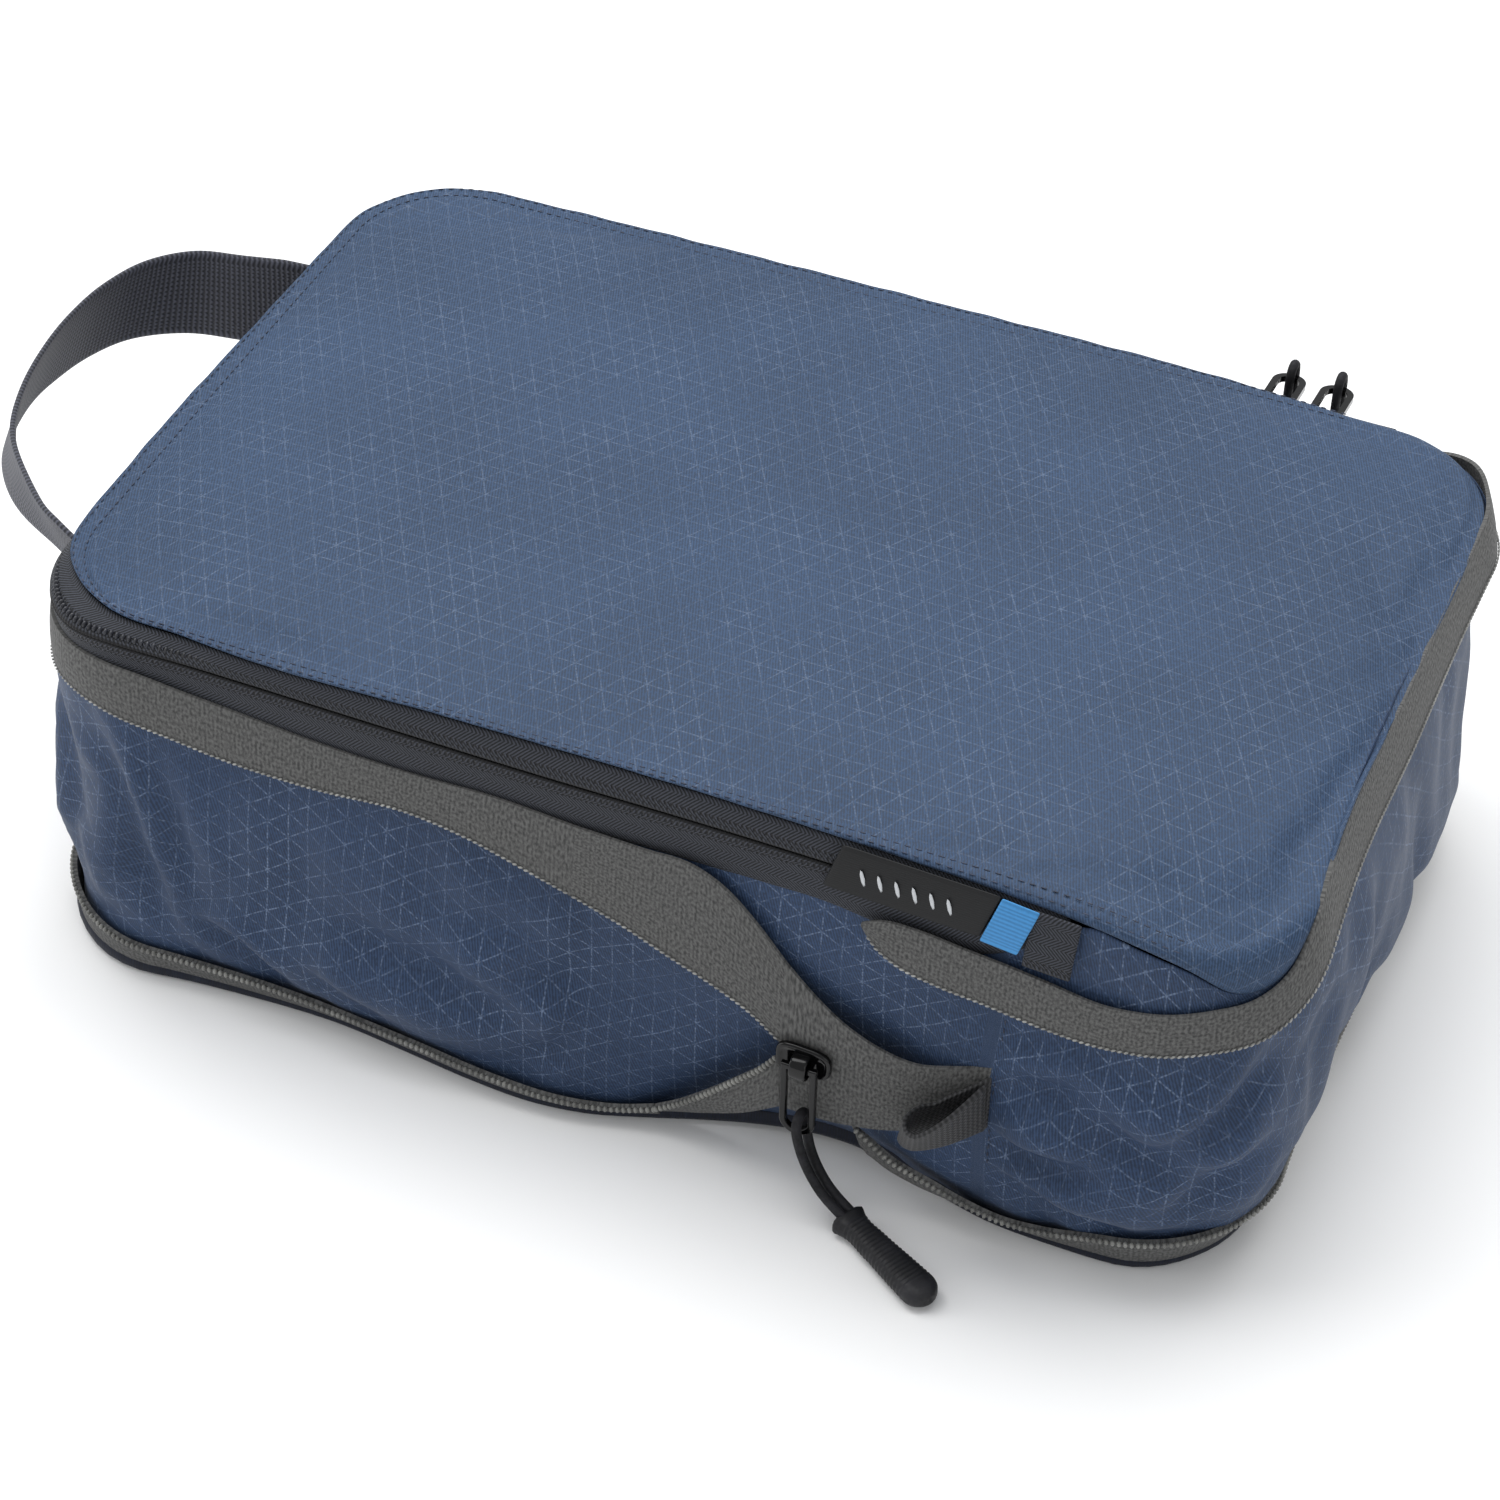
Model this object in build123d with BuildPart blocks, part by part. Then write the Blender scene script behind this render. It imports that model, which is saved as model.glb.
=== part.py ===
"""Compression packing cube: a soft box with a zipped lid and a second, spiral zipper.

The origin is the centre of the base on the floor.  +X points to the hinge end of
the lid, -Y to the front and +Z up.  Every wall follows one plan, a rounded
rectangle.  Cloth layers lie at named offsets from that plan, positive outwards.
"""
import os
from math import cos, radians, sin, tan

from build123d import *

os.makedirs("parts", exist_ok=True)

# ---------------------------------------------------------------- driving dimensions
BAG_LENGTH = 280.0
BAG_DEPTH = 180.0
BAG_HEIGHT = 97.0
CORNER_RADIUS = 28.0

# heights of the seams
BASE_THICKNESS = 1.5
LID_THICKNESS = 1.2
BAND_TOP = 4.0
LOWER_TAPE_TOP = 12.0
GUSSET_LAP_LOW = 48.0
GUSSET_LAP_HIGH = 49.3
UPPER_TAPE_LOW = 66.0
RIM_SEAM = 80.0
SLIT_LOW = 88.2
SLIT_HIGH = 89.3
LID_UNDERSIDE = BAG_HEIGHT - LID_THICKNESS
SLIT_MIDDLE = (SLIT_LOW + SLIT_HIGH) / 2

# layers, as (inner, outer) offsets from the plan
INNER_WALL = (-6.4, -5.2)
COIL_LAYER = (-2.8, -1.6)
OUTER_WALL = (-1.6, -0.4)
ZIP_TAPE = (-1.4, -0.4)
OUTER_TAPE = (0.2, 1.2)
OUTER_COIL = (1.2, 1.8)
PATCH = (0.1, 0.8)
LABEL = (0.3, 1.2)

# places along X
HINGE_LINE = 110.0
HINGE_GAP = 0.2
ZIP_END_FRONT = 96.0
ZIP_END_BACK = 108.0
UPPER_TAPE_GAP = (-10.0, 55.0)
LOWER_TAPE_GAP = (8.0, 54.0)
TAPE_CLIMB = (102.0, 138.0)
LABEL_SPAN = (46.0, 90.0)
LABEL_LOW = 84.5

# zipper slider, about the middle plane of its tape
PLATE_OUT = (0.9, 2.3)
PLATE_IN = (-3.3, -2.3)
WEB_HALF = 0.35
BAR_HEIGHT = 3.9
CROWN_TOP = 6.0
CROWN_HALF_LENGTH = 2.0
CROWN_HALF_WIDTH = 3.4
CROWN_HOLE = 1.35

# wire ring that hangs on a slider
WIRE = 1.5
RING_WIDTH = 8.0
RING_SPAN = 18.5
RING_DROOP = 8.0

# pull cord and its rubber grip
CORD = 2.2
GRIP_THICKNESS = 4.8
GRIP_LENGTH = 28.5
GRIP_LIP = 3.6
GRIP_WAIST = 2.9
GRIP_BULB = 3.9
GRIP_ROUNDING = 0.9

# where the sliders stand at rest
COMPRESSION_X = 44.2
COMPRESSION_Z = 40.0
COMPRESSION_Y = -95.6
MAIN_SLIDERS = {"a": 81.0, "b": 92.5}
MAIN_SLIDER_LENGTH = 11.0
COMPRESSION_SLIDER_LENGTH = 12.4

# carrying handle
STRAP_WIDTH = 25.0
STRAP_THICKNESS = 1.6
STRAP_LOW = 70.5

FAR = 400.0


def save(part, name):
    """Label a finished sub-part and write its STEP file."""
    part.label = name
    export_step(part, f"parts/{name}.step")


def plan(offset, mode=Mode.ADD):
    """The bag's plan, grown by an offset."""
    RectangleRounded(
        BAG_LENGTH + 2 * offset, BAG_DEPTH + 2 * offset, CORNER_RADIUS + offset, mode=mode
    )


def wall_section(layer):
    """The plan of a wall that fills one layer all the way round."""
    inner, outer = layer
    plan(outer)
    plan(inner, mode=Mode.SUBTRACT)


def keep_side(start, end, side):
    """Leave out everything beside a stretch of X, on the front, the back or both."""
    middle_y = {"front": -FAR / 2, "back": FAR / 2, "both": 0.0}[side]
    depth = 2 * FAR if side == "both" else FAR
    with Locations(((start + end) / 2, middle_y)):
        Rectangle(end - start, depth, mode=Mode.SUBTRACT)


def front_plane(x, y, z):
    """A plane that faces the front, with its own x along X and y along Z."""
    return Plane(origin=(x, y, z), x_dir=(1, 0, 0), z_dir=(0, -1, 0))


def back_plane(x, y, z):
    """A plane that faces the back, with its own x along -X and y along Z."""
    return Plane(origin=(x, y, z), x_dir=(-1, 0, 0), z_dir=(0, 1, 0))


# ---------------------------------------------------------------- base
with BuildPart() as base_panel:
    with BuildSketch(Plane.XY):
        plan(OUTER_TAPE[1])
    extrude(amount=BASE_THICKNESS)
save(base_panel.part, "base_panel")

with BuildPart() as base_band:
    with BuildSketch(Plane.XY.offset(BASE_THICKNESS)):
        wall_section(OUTER_TAPE)
    extrude(amount=BAND_TOP - BASE_THICKNESS)
save(base_band.part, "base_band")

with BuildPart() as gusset_lower:
    with BuildSketch(Plane.XY.offset(BASE_THICKNESS)):
        wall_section(INNER_WALL)
    extrude(amount=GUSSET_LAP_HIGH - BASE_THICKNESS)
save(gusset_lower.part, "gusset_lower")

with BuildPart() as lower_tape:
    with BuildSketch(Plane.XY.offset(BAND_TOP)):
        wall_section(OUTER_TAPE)
        keep_side(*LOWER_TAPE_GAP, "front")
    extrude(amount=LOWER_TAPE_TOP - BAND_TOP)
save(lower_tape.part, "lower_tape")

COIL_BEAD = 2.2
with BuildPart() as lower_coil:
    with BuildSketch(Plane.XY.offset(LOWER_TAPE_TOP - COIL_BEAD)):
        wall_section(OUTER_COIL)
        keep_side(*LOWER_TAPE_GAP, "front")
    extrude(amount=COIL_BEAD)
save(lower_coil.part, "lower_coil")


# ---------------------------------------------------------------- rim
with BuildPart() as gusset_upper:
    with BuildSketch(Plane.XY.offset(GUSSET_LAP_LOW)):
        wall_section(OUTER_WALL)
    extrude(amount=RIM_SEAM - GUSSET_LAP_LOW)
save(gusset_upper.part, "gusset_upper")


def climbing_band(low, height):
    """Side view of a band that climbs to the lid's edge round the hinge end."""
    climb = LID_UNDERSIDE + 1.0 - RIM_SEAM
    start, end = TAPE_CLIMB
    Polygon(
        (-FAR, low),
        (start, low),
        (end, low + climb),
        (FAR, low + climb),
        (FAR, low + climb + height),
        (end, low + climb + height),
        (start, low + height),
        (-FAR, low + height),
        align=None,
    )


for name, layer, low, height in (
    ("upper_tape", OUTER_TAPE, UPPER_TAPE_LOW, RIM_SEAM - UPPER_TAPE_LOW),
    ("upper_coil", OUTER_COIL, UPPER_TAPE_LOW + 0.3, COIL_BEAD),
):
    with BuildPart() as band:
        with BuildSketch(Plane.XY.offset(UPPER_TAPE_LOW - 1)):
            wall_section(layer)
            keep_side(*UPPER_TAPE_GAP, "front")
        extrude(amount=BAG_HEIGHT - UPPER_TAPE_LOW + 2)
        with BuildSketch(Plane.XZ):
            climbing_band(low, height)
        extrude(amount=FAR, both=True, mode=Mode.INTERSECT)
    save(band.part, name)

for name, layer, low, high in (
    ("body_tape", ZIP_TAPE, RIM_SEAM, SLIT_LOW),
    ("body_coil", COIL_LAYER, SLIT_LOW - COIL_BEAD, SLIT_LOW),
):
    with BuildPart() as zip_half:
        with BuildSketch(Plane.XY.offset(low)):
            wall_section(layer)
            keep_side(ZIP_END_FRONT, FAR, "front")
            keep_side(ZIP_END_BACK, FAR, "back")
        extrude(amount=high - low)
    save(zip_half.part, name)

END_CLEARANCE = 0.4
with BuildPart() as hinge_end_panel:
    with BuildSketch(Plane.XY.offset(RIM_SEAM)):
        wall_section(OUTER_WALL)
        keep_side(-FAR, ZIP_END_FRONT + END_CLEARANCE, "front")
        keep_side(-FAR, ZIP_END_BACK + END_CLEARANCE, "back")
    extrude(amount=LID_UNDERSIDE - RIM_SEAM)
save(hinge_end_panel.part, "hinge_end_panel")

with BuildPart() as hinge_end_top:
    with BuildSketch(Plane.XY.offset(LID_UNDERSIDE)):
        plan(0)
        keep_side(-FAR, HINGE_LINE + HINGE_GAP, "both")
    extrude(amount=LID_THICKNESS)
save(hinge_end_top.part, "hinge_end_top")

# each end of the lid zipper is covered by a small folded patch
PATCH_WIDTH = 4.5
PATCH_LOW = 85.5
PATCH_HEIGHT = 9.0
PATCH_THICKNESS = PATCH[1] - PATCH[0]
with BuildPart() as zip_end_patches:
    front_x = ZIP_END_FRONT + 0.6
    with BuildSketch(front_plane(front_x, -BAG_DEPTH / 2 - PATCH[0], PATCH_LOW)):
        Rectangle(PATCH_WIDTH, PATCH_HEIGHT, align=(Align.CENTER, Align.MIN))
    extrude(amount=PATCH_THICKNESS)
    back_x = ZIP_END_BACK - 0.2
    with BuildSketch(back_plane(back_x, BAG_DEPTH / 2 + PATCH[0], PATCH_LOW)):
        Rectangle(PATCH_WIDTH, PATCH_HEIGHT, align=(Align.CENTER, Align.MIN))
    extrude(amount=PATCH_THICKNESS)
save(zip_end_patches.part, "zip_end_patches")

HANDLE_FAR_Y = 45.0
HANDLE_NEAR_Y = -62.0
ANCHOR_LOW = 82.0
ANCHOR_TOP = 95.0
with BuildPart() as handle_anchors:
    with BuildSketch(Plane.XY.offset(ANCHOR_LOW)):
        with Locations(
            (-BAG_LENGTH / 2 - 0.65, HANDLE_FAR_Y), (-BAG_LENGTH / 2 - 0.65, HANDLE_NEAR_Y)
        ):
            Rectangle(1.0, 5.0)
    extrude(amount=ANCHOR_TOP - ANCHOR_LOW)
save(handle_anchors.part, "handle_anchors")


# ---------------------------------------------------------------- lid
with BuildPart() as top_panel:
    with BuildSketch(Plane.XY.offset(LID_UNDERSIDE)):
        plan(0)
        keep_side(HINGE_LINE - HINGE_GAP, FAR, "both")
    extrude(amount=LID_THICKNESS)
save(top_panel.part, "top_panel")

for name, layer, low, high in (
    ("lid_tape", ZIP_TAPE, SLIT_HIGH, LID_UNDERSIDE),
    ("lid_coil", COIL_LAYER, SLIT_HIGH, SLIT_HIGH + COIL_BEAD),
):
    with BuildPart() as zip_half:
        with BuildSketch(Plane.XY.offset(low)):
            wall_section(layer)
            keep_side(ZIP_END_FRONT, FAR, "front")
            keep_side(ZIP_END_BACK, FAR, "back")
        extrude(amount=high - low)
    save(zip_half.part, name)

with BuildPart() as label:
    label_middle = sum(LABEL_SPAN) / 2
    with BuildSketch(front_plane(label_middle, -BAG_DEPTH / 2 - LABEL[0], LABEL_LOW)):
        Rectangle(
            LABEL_SPAN[1] - LABEL_SPAN[0],
            BAG_HEIGHT - LABEL_LOW,
            align=(Align.CENTER, Align.MIN),
        )
    extrude(amount=LABEL[1] - LABEL[0])
save(label.part, "label")


# ---------------------------------------------------------------- compression zipper
# Left of the slider the two tapes part, one climbing to the rim, one falling to the base.
BAND_THICKNESS = 1.2
SLIDER_LEFT = COMPRESSION_X - COMPRESSION_SLIDER_LENGTH / 2 - 0.4


def parting_tape(start_x, start_low, start_high, end_low, end_high):
    """A slanting slab of tape from the bag's front face to the slider's nose."""
    start_y = -BAG_DEPTH / 2 - OUTER_TAPE[0]
    end_y = COMPRESSION_Y + BAND_THICKNESS / 2
    run = Vector(SLIDER_LEFT - start_x, end_y - start_y, 0)
    facing = Vector(run.Y, -run.X, 0)
    with BuildSketch(Plane(origin=(start_x, start_y, 0), x_dir=run, z_dir=facing)) as side:
        Polygon(
            (0, start_low),
            (run.length, end_low),
            (run.length, end_high),
            (0, start_high),
            align=None,
        )
    extrude(side.sketch, amount=BAND_THICKNESS - 0.2)


with BuildPart() as upper_tape_drop:
    drop_x = UPPER_TAPE_GAP[0] + 0.4
    parting_tape(
        drop_x, UPPER_TAPE_LOW, RIM_SEAM, COMPRESSION_Z + 0.6, COMPRESSION_Z + 12.0
    )
save(upper_tape_drop.part, "upper_tape_drop")

with BuildPart() as lower_tape_rise:
    rise_x = LOWER_TAPE_GAP[0] + 0.4
    parting_tape(
        rise_x, BAND_TOP + 0.2, LOWER_TAPE_TOP, COMPRESSION_Z - 12.0, COMPRESSION_Z - 0.6
    )
save(lower_tape_rise.part, "lower_tape_rise")

# Right of the slider the tapes are joined, with the coil's slit between them.
BAND_LEFT = COMPRESSION_X + COMPRESSION_SLIDER_LENGTH / 2 + 0.4
BAND_RIGHT = 84.0
SLIT_END = 69.0
SLIT_HALF = 0.6
with BuildPart() as joined_band:
    with BuildSketch(front_plane(0, COMPRESSION_Y + BAND_THICKNESS / 2, 0)):
        with BuildLine():
            Polyline(
                (BAND_LEFT, 51.5),
                (61.0, 46.5),
                (72.0, 46.0),
                (BAND_RIGHT, 50.5),
                (BAND_RIGHT, 28.0),
                (72.0, 28.0),
                (61.0, 26.0),
                (BAND_LEFT, 26.0),
                close=True,
            )
        make_face()
        with Locations(((BAND_LEFT + SLIT_END) / 2, COMPRESSION_Z)):
            Rectangle(SLIT_END - BAND_LEFT, 2 * SLIT_HALF, mode=Mode.SUBTRACT)
    extrude(amount=BAND_THICKNESS)
save(joined_band.part, "joined_band")

# a ribbon folded into a loop is sewn in with the zipper's closed end
LOOP_LOW = 30.0
LOOP_HEIGHT = 15.0
LOOP_WALL = 1.0
LOOP_BACK_Y = COMPRESSION_Y - BAND_THICKNESS / 2
with BuildPart() as start_loop:
    with BuildSketch(Plane.XY.offset(LOOP_LOW)):
        with BuildLine():
            Polyline(
                (84.0, LOOP_BACK_Y - 0.1),
                (69.0, LOOP_BACK_Y - 0.1),
                (67.8, LOOP_BACK_Y - 4.6),
                (70.0, LOOP_BACK_Y - 9.4),
                (75.0, LOOP_BACK_Y - 9.4),
                (84.0, LOOP_BACK_Y - 3.4),
                close=True,
            )
        make_face()
        with BuildLine():
            Polyline(
                (82.0, LOOP_BACK_Y - 1.1),
                (69.9, LOOP_BACK_Y - 1.1),
                (68.9, LOOP_BACK_Y - 4.6),
                (70.7, LOOP_BACK_Y - 8.4),
                (74.8, LOOP_BACK_Y - 8.4),
                (82.0, LOOP_BACK_Y - 3.4),
                close=True,
            )
        make_face(mode=Mode.SUBTRACT)
    extrude(amount=LOOP_HEIGHT)
save(start_loop.part, "start_loop")


# ---------------------------------------------------------------- sliders
def slider_plate(plane, length, thickness):
    """A flat plate with a wide rounded nose at -x and a narrower square tail at +x."""
    half = length / 2
    corners = [
        (-half, -2.6),
        (-half + 1.9, -4.6),
        (1.0, -4.3),
        (half, -3.7),
        (half, 3.7),
        (1.0, 4.3),
        (-half + 1.9, 4.6),
        (-half, 2.6),
    ]
    with BuildSketch(plane) as outline:
        Polygon(*corners, align=None)
        fillet(outline.vertices(), 0.7)
    extrude(outline.sketch, amount=thickness)


def slider_body(plane, length):
    """Two plates joined by a thin web in the zipper's slit, with a crown on the outer one."""
    slider_plate(plane.offset(PLATE_OUT[0]), length, PLATE_OUT[1] - PLATE_OUT[0])
    slider_plate(plane.offset(PLATE_IN[0]), length, PLATE_IN[1] - PLATE_IN[0])
    with BuildSketch(plane.offset(PLATE_IN[1])) as web:
        with Locations((-length / 2 + 2.4, 0)):
            Rectangle(3.0, 2 * WEB_HALF)
    extrude(web.sketch, amount=PLATE_OUT[0] - PLATE_IN[1])
    with BuildSketch(plane.offset(PLATE_OUT[1])) as crown:
        Rectangle(2 * CROWN_HALF_LENGTH, 2 * CROWN_HALF_WIDTH)
    extrude(crown.sketch, amount=CROWN_TOP - PLATE_OUT[1], taper=14)
    with BuildSketch(plane.offset(PLATE_OUT[1])) as hole:
        Rectangle(2 * CROWN_HALF_LENGTH + 1, 2 * CROWN_HOLE)
    hole_height = BAR_HEIGHT + CROWN_HOLE - 0.3 - PLATE_OUT[1]
    extrude(hole.sketch, amount=hole_height, mode=Mode.SUBTRACT)


with BuildPart() as compression_slider:
    slider_body(
        front_plane(COMPRESSION_X, COMPRESSION_Y, COMPRESSION_Z), COMPRESSION_SLIDER_LENGTH
    )
save(compression_slider.part, "compression_slider")

MAIN_TAPE_Y = BAG_DEPTH / 2 + sum(ZIP_TAPE) / 2
for name, slider_x in MAIN_SLIDERS.items():
    with BuildPart() as main_slider:
        slider_body(back_plane(slider_x, MAIN_TAPE_Y, SLIT_MIDDLE), MAIN_SLIDER_LENGTH)
    save(main_slider.part, f"main_slider_{name}")


# ---------------------------------------------------------------- wire rings
def wire_ring(plane):
    """A long wire loop that hangs along the plane's -y, its straight bar at the origin."""
    half_wire = WIRE / 2
    outer = RING_WIDTH / 2
    bow = RING_SPAN + half_wire - outer
    with BuildSketch(plane) as ring:
        with Locations((0, (half_wire - bow) / 2)):
            Rectangle(2 * outer, bow + half_wire)
        with Locations((0, -bow)):
            Circle(outer)
            Circle(outer - WIRE, mode=Mode.SUBTRACT)
        with Locations((0, (-half_wire - bow) / 2)):
            Rectangle(2 * (outer - WIRE), bow - half_wire, mode=Mode.SUBTRACT)
    extrude(ring.sketch, amount=half_wire, both=True)


with BuildPart() as compression_ring:
    wire_ring(front_plane(COMPRESSION_X, COMPRESSION_Y - BAR_HEIGHT, COMPRESSION_Z))
    fillet(compression_ring.edges().group_by(Axis.Y)[0], 0.4)
    fillet(compression_ring.edges().group_by(Axis.Y)[-1], 0.4)
save(compression_ring.part, "compression_ring")

MAIN_BAR_Y = MAIN_TAPE_Y + BAR_HEIGHT
for name, slider_x in MAIN_SLIDERS.items():
    droop = radians(RING_DROOP)
    ring_plane = Plane(
        origin=(slider_x, MAIN_BAR_Y, SLIT_MIDDLE),
        x_dir=(1, 0, 0),
        z_dir=(0, -sin(droop), -cos(droop)),
    )
    with BuildPart() as main_ring:
        wire_ring(ring_plane)
    save(main_ring.part, f"main_ring_{name}")


# ---------------------------------------------------------------- pull cords
def cord_radii(points):
    """The largest bend at each inner point that its two runs allow."""
    radii = []
    for before, here, after in zip(points, points[1:], points[2:]):
        run_in = Vector(*here) - Vector(*before)
        run_out = Vector(*after) - Vector(*here)
        turn = radians(run_in.get_angle(run_out))
        radii.append(0.45 * min(run_in.length, run_out.length) / tan(turn / 2))
    return radii


def cord_tube(points):
    """A round cord swept along straight runs joined by arcs."""
    with BuildLine() as path:
        FilletPolyline(*points, radius=cord_radii(points))
    with BuildSketch(Plane(origin=path.line @ 0, z_dir=path.line % 0)) as section:
        Circle(CORD / 2)
    sweep(section.sketch, path=path.line)
    return sum(edge.length for edge in path.edges())


COMPRESSION_CORD = [
    (57.0, -103.6, 4.1),
    (52.9, -103.4, 7.4),
    (49.5, -103.0, 11.8),
    (46.9, -102.5, 16.6),
    (45.2, -102.0, 21.6),
    (44.7, -101.7, 25.4),
    (44.9, -99.5, 26.9),
    (45.1, -97.3, 25.4),
    (45.6, -97.3, 21.4),
    (47.3, -98.0, 16.6),
    (50.1, -99.4, 11.9),
    (53.8, -100.9, 7.5),
    (58.1, -101.6, 4.1),
]
with BuildPart() as compression_cord:
    cord_length = cord_tube(COMPRESSION_CORD)
save(compression_cord.part, "compression_cord")
print("cord radii", [round(value, 1) for value in cord_radii(COMPRESSION_CORD)])
print("cord length", round(cord_length, 1), "volume", round(compression_cord.part.volume, 1))

# the hanging pulls at the back, as (y, z) from the middle of the ring's bow
HANGING_ROUTE = [
    (1.2, -19.5),
    (1.3, -15.4),
    (1.8, -10.8),
    (2.5, -6.0),
    (2.6, -1.8),
    (2.2, 2.0),
    (0.0, 3.5),
    (-2.2, 2.0),
    (-2.6, -1.8),
    (-2.5, -6.0),
    (-1.8, -10.8),
    (-1.3, -15.4),
    (-1.2, -19.5),
]
BOW_Y = MAIN_BAR_Y + RING_SPAN * cos(radians(RING_DROOP))
BOW_Z = SLIT_MIDDLE - RING_SPAN * sin(radians(RING_DROOP))
for name, slider_x in MAIN_SLIDERS.items():
    route = [(slider_x, BOW_Y + y, BOW_Z + z) for y, z in HANGING_ROUTE]
    with BuildPart() as main_cord:
        cord_length = cord_tube(route)
    save(main_cord.part, f"main_cord_{name}")
print("main cord radii", [round(value, 1) for value in cord_radii(route)])
print("main cord length", round(cord_length, 1), "volume", round(main_cord.part.volume, 1))


# ---------------------------------------------------------------- rubber grips
def grip_solid(plane):
    """A flat grip along the plane's +x: a square lip, a waist and a round swelling end."""
    bulb_x = GRIP_LENGTH - GRIP_BULB
    with BuildSketch(plane) as outline:
        with BuildLine():
            upper = Spline(
                (0, GRIP_LIP),
                (bulb_x * 0.4, GRIP_WAIST),
                (bulb_x, GRIP_BULB),
                tangents=((1, 0), (1, 0)),
            )
            tip = ThreePointArc(upper @ 1, (GRIP_LENGTH, 0), (bulb_x, -GRIP_BULB))
            lower = Spline(
                tip @ 1,
                (bulb_x * 0.4, -GRIP_WAIST),
                (0, -GRIP_LIP),
                tangents=((-1, 0), (-1, 0)),
            )
            Line(lower @ 1, upper @ 0)
        make_face()
    extrude(outline.sketch, amount=GRIP_THICKNESS)


GRIP_FLOOR = 0.3
with BuildPart() as compression_grip:
    mouth = Plane(origin=(57.2, -102.4, GRIP_FLOOR), x_dir=(25.0, -14.5, 0), z_dir=(0, 0, 1))
    grip_solid(mouth)
    fillet(compression_grip.faces().sort_by(Axis.Z)[-1].edges(), GRIP_ROUNDING)
save(compression_grip.part, "compression_grip")

for name, slider_x in MAIN_SLIDERS.items():
    with BuildPart() as main_grip:
        hanging = Plane(
            origin=(slider_x, BOW_Y - GRIP_THICKNESS / 2, BOW_Z - 19.2),
            x_dir=(0, 0, -1),
            z_dir=(0, 1, 0),
        )
        grip_solid(hanging)
        save(main_grip.part, f"main_grip_{name}")


# ---------------------------------------------------------------- handle
ROOT_X = -BAG_LENGTH / 2 - 3.4
with BuildPart() as handle:
    with BuildSketch(Plane.XY.offset(STRAP_LOW)):
        with BuildLine():
            FilletPolyline(
                (ROOT_X, HANDLE_FAR_Y),
                (-173.0, 42.0),
                (-185.0, 20.0),
                (-183.0, -14.0),
                (-172.0, -46.0),
                (ROOT_X, HANDLE_NEAR_Y),
                radius=(14.0, 20.0, 40.0, 16.0),
            )
        trace(line_width=STRAP_THICKNESS)
    extrude(amount=STRAP_WIDTH)
save(handle.part, "handle")
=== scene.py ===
import math

import bmesh
import bpy
import numpy as np
from mathutils import Matrix, Vector


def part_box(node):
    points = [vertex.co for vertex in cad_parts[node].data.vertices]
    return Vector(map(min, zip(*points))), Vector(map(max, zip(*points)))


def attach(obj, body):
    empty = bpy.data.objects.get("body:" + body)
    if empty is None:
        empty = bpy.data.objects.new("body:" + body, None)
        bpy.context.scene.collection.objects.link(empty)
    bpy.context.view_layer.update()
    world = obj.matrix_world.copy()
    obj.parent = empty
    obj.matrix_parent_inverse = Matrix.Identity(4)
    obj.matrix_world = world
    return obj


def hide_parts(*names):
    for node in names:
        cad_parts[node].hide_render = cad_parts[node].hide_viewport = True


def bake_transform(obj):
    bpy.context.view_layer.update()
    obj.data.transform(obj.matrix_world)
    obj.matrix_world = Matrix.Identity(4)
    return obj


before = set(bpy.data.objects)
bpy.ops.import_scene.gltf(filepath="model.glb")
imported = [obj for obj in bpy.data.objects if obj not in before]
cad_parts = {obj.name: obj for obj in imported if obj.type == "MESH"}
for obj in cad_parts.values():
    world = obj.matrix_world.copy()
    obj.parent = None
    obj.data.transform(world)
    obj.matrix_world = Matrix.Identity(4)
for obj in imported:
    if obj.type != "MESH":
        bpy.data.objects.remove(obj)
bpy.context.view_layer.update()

MM = 0.001
scene = bpy.context.scene


def box(node):
    """Lowest and highest corner of a CAD node, in millimetres."""
    low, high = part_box(node)
    return np.array(low) / MM, np.array(high) / MM


HALF_LENGTH = box("hinge_end_top")[1][0]
HALF_DEPTH = box("top_panel")[1][1]
LID_TOP = box("top_panel")[1][2]
SEAM_X = box("joined_band")[1][0]
CORNER = 28.0

# ---------------------------------------------------------------- the bag's outline
STRAIGHT_X = HALF_LENGTH - CORNER
STRAIGHT_Y = HALF_DEPTH - CORNER
BEND = CORNER * math.pi / 2
RUNS = [
    ("line", STRAIGHT_X - SEAM_X, (SEAM_X, -HALF_DEPTH), (1, 0)),
    ("bend", BEND, (STRAIGHT_X, -STRAIGHT_Y), -math.pi / 2),
    ("line", 2 * STRAIGHT_Y, (HALF_LENGTH, -STRAIGHT_Y), (0, 1)),
    ("bend", BEND, (STRAIGHT_X, STRAIGHT_Y), 0.0),
    ("line", 2 * STRAIGHT_X, (STRAIGHT_X, HALF_DEPTH), (-1, 0)),
    ("bend", BEND, (-STRAIGHT_X, STRAIGHT_Y), math.pi / 2),
    ("line", 2 * STRAIGHT_Y, (-HALF_LENGTH, STRAIGHT_Y), (0, -1)),
    ("bend", BEND, (-STRAIGHT_X, -STRAIGHT_Y), math.pi),
    ("line", STRAIGHT_X + SEAM_X, (-STRAIGHT_X, -HALF_DEPTH), (1, 0)),
]
STARTS = np.cumsum([0.0] + [run[1] for run in RUNS])
ROUND = STARTS[-1]
RIGHT, BACK, LEFT = STARTS[2], STARTS[4], STARTS[6]
# the middles of the corners: front right, back right, back left and front left
FR, BR, BL, FL = (STARTS[i] + BEND / 2 for i in (1, 3, 5, 7))


def front(x):
    """The place of a point on the front, right of the seam or just left of it."""
    return x - SEAM_X


def front_left(x):
    """The place of a point on the front, reached by going all the way round."""
    return ROUND + x - SEAM_X


def right(y):
    """The place of a point on the right side."""
    return RIGHT + y + STRAIGHT_Y


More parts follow.
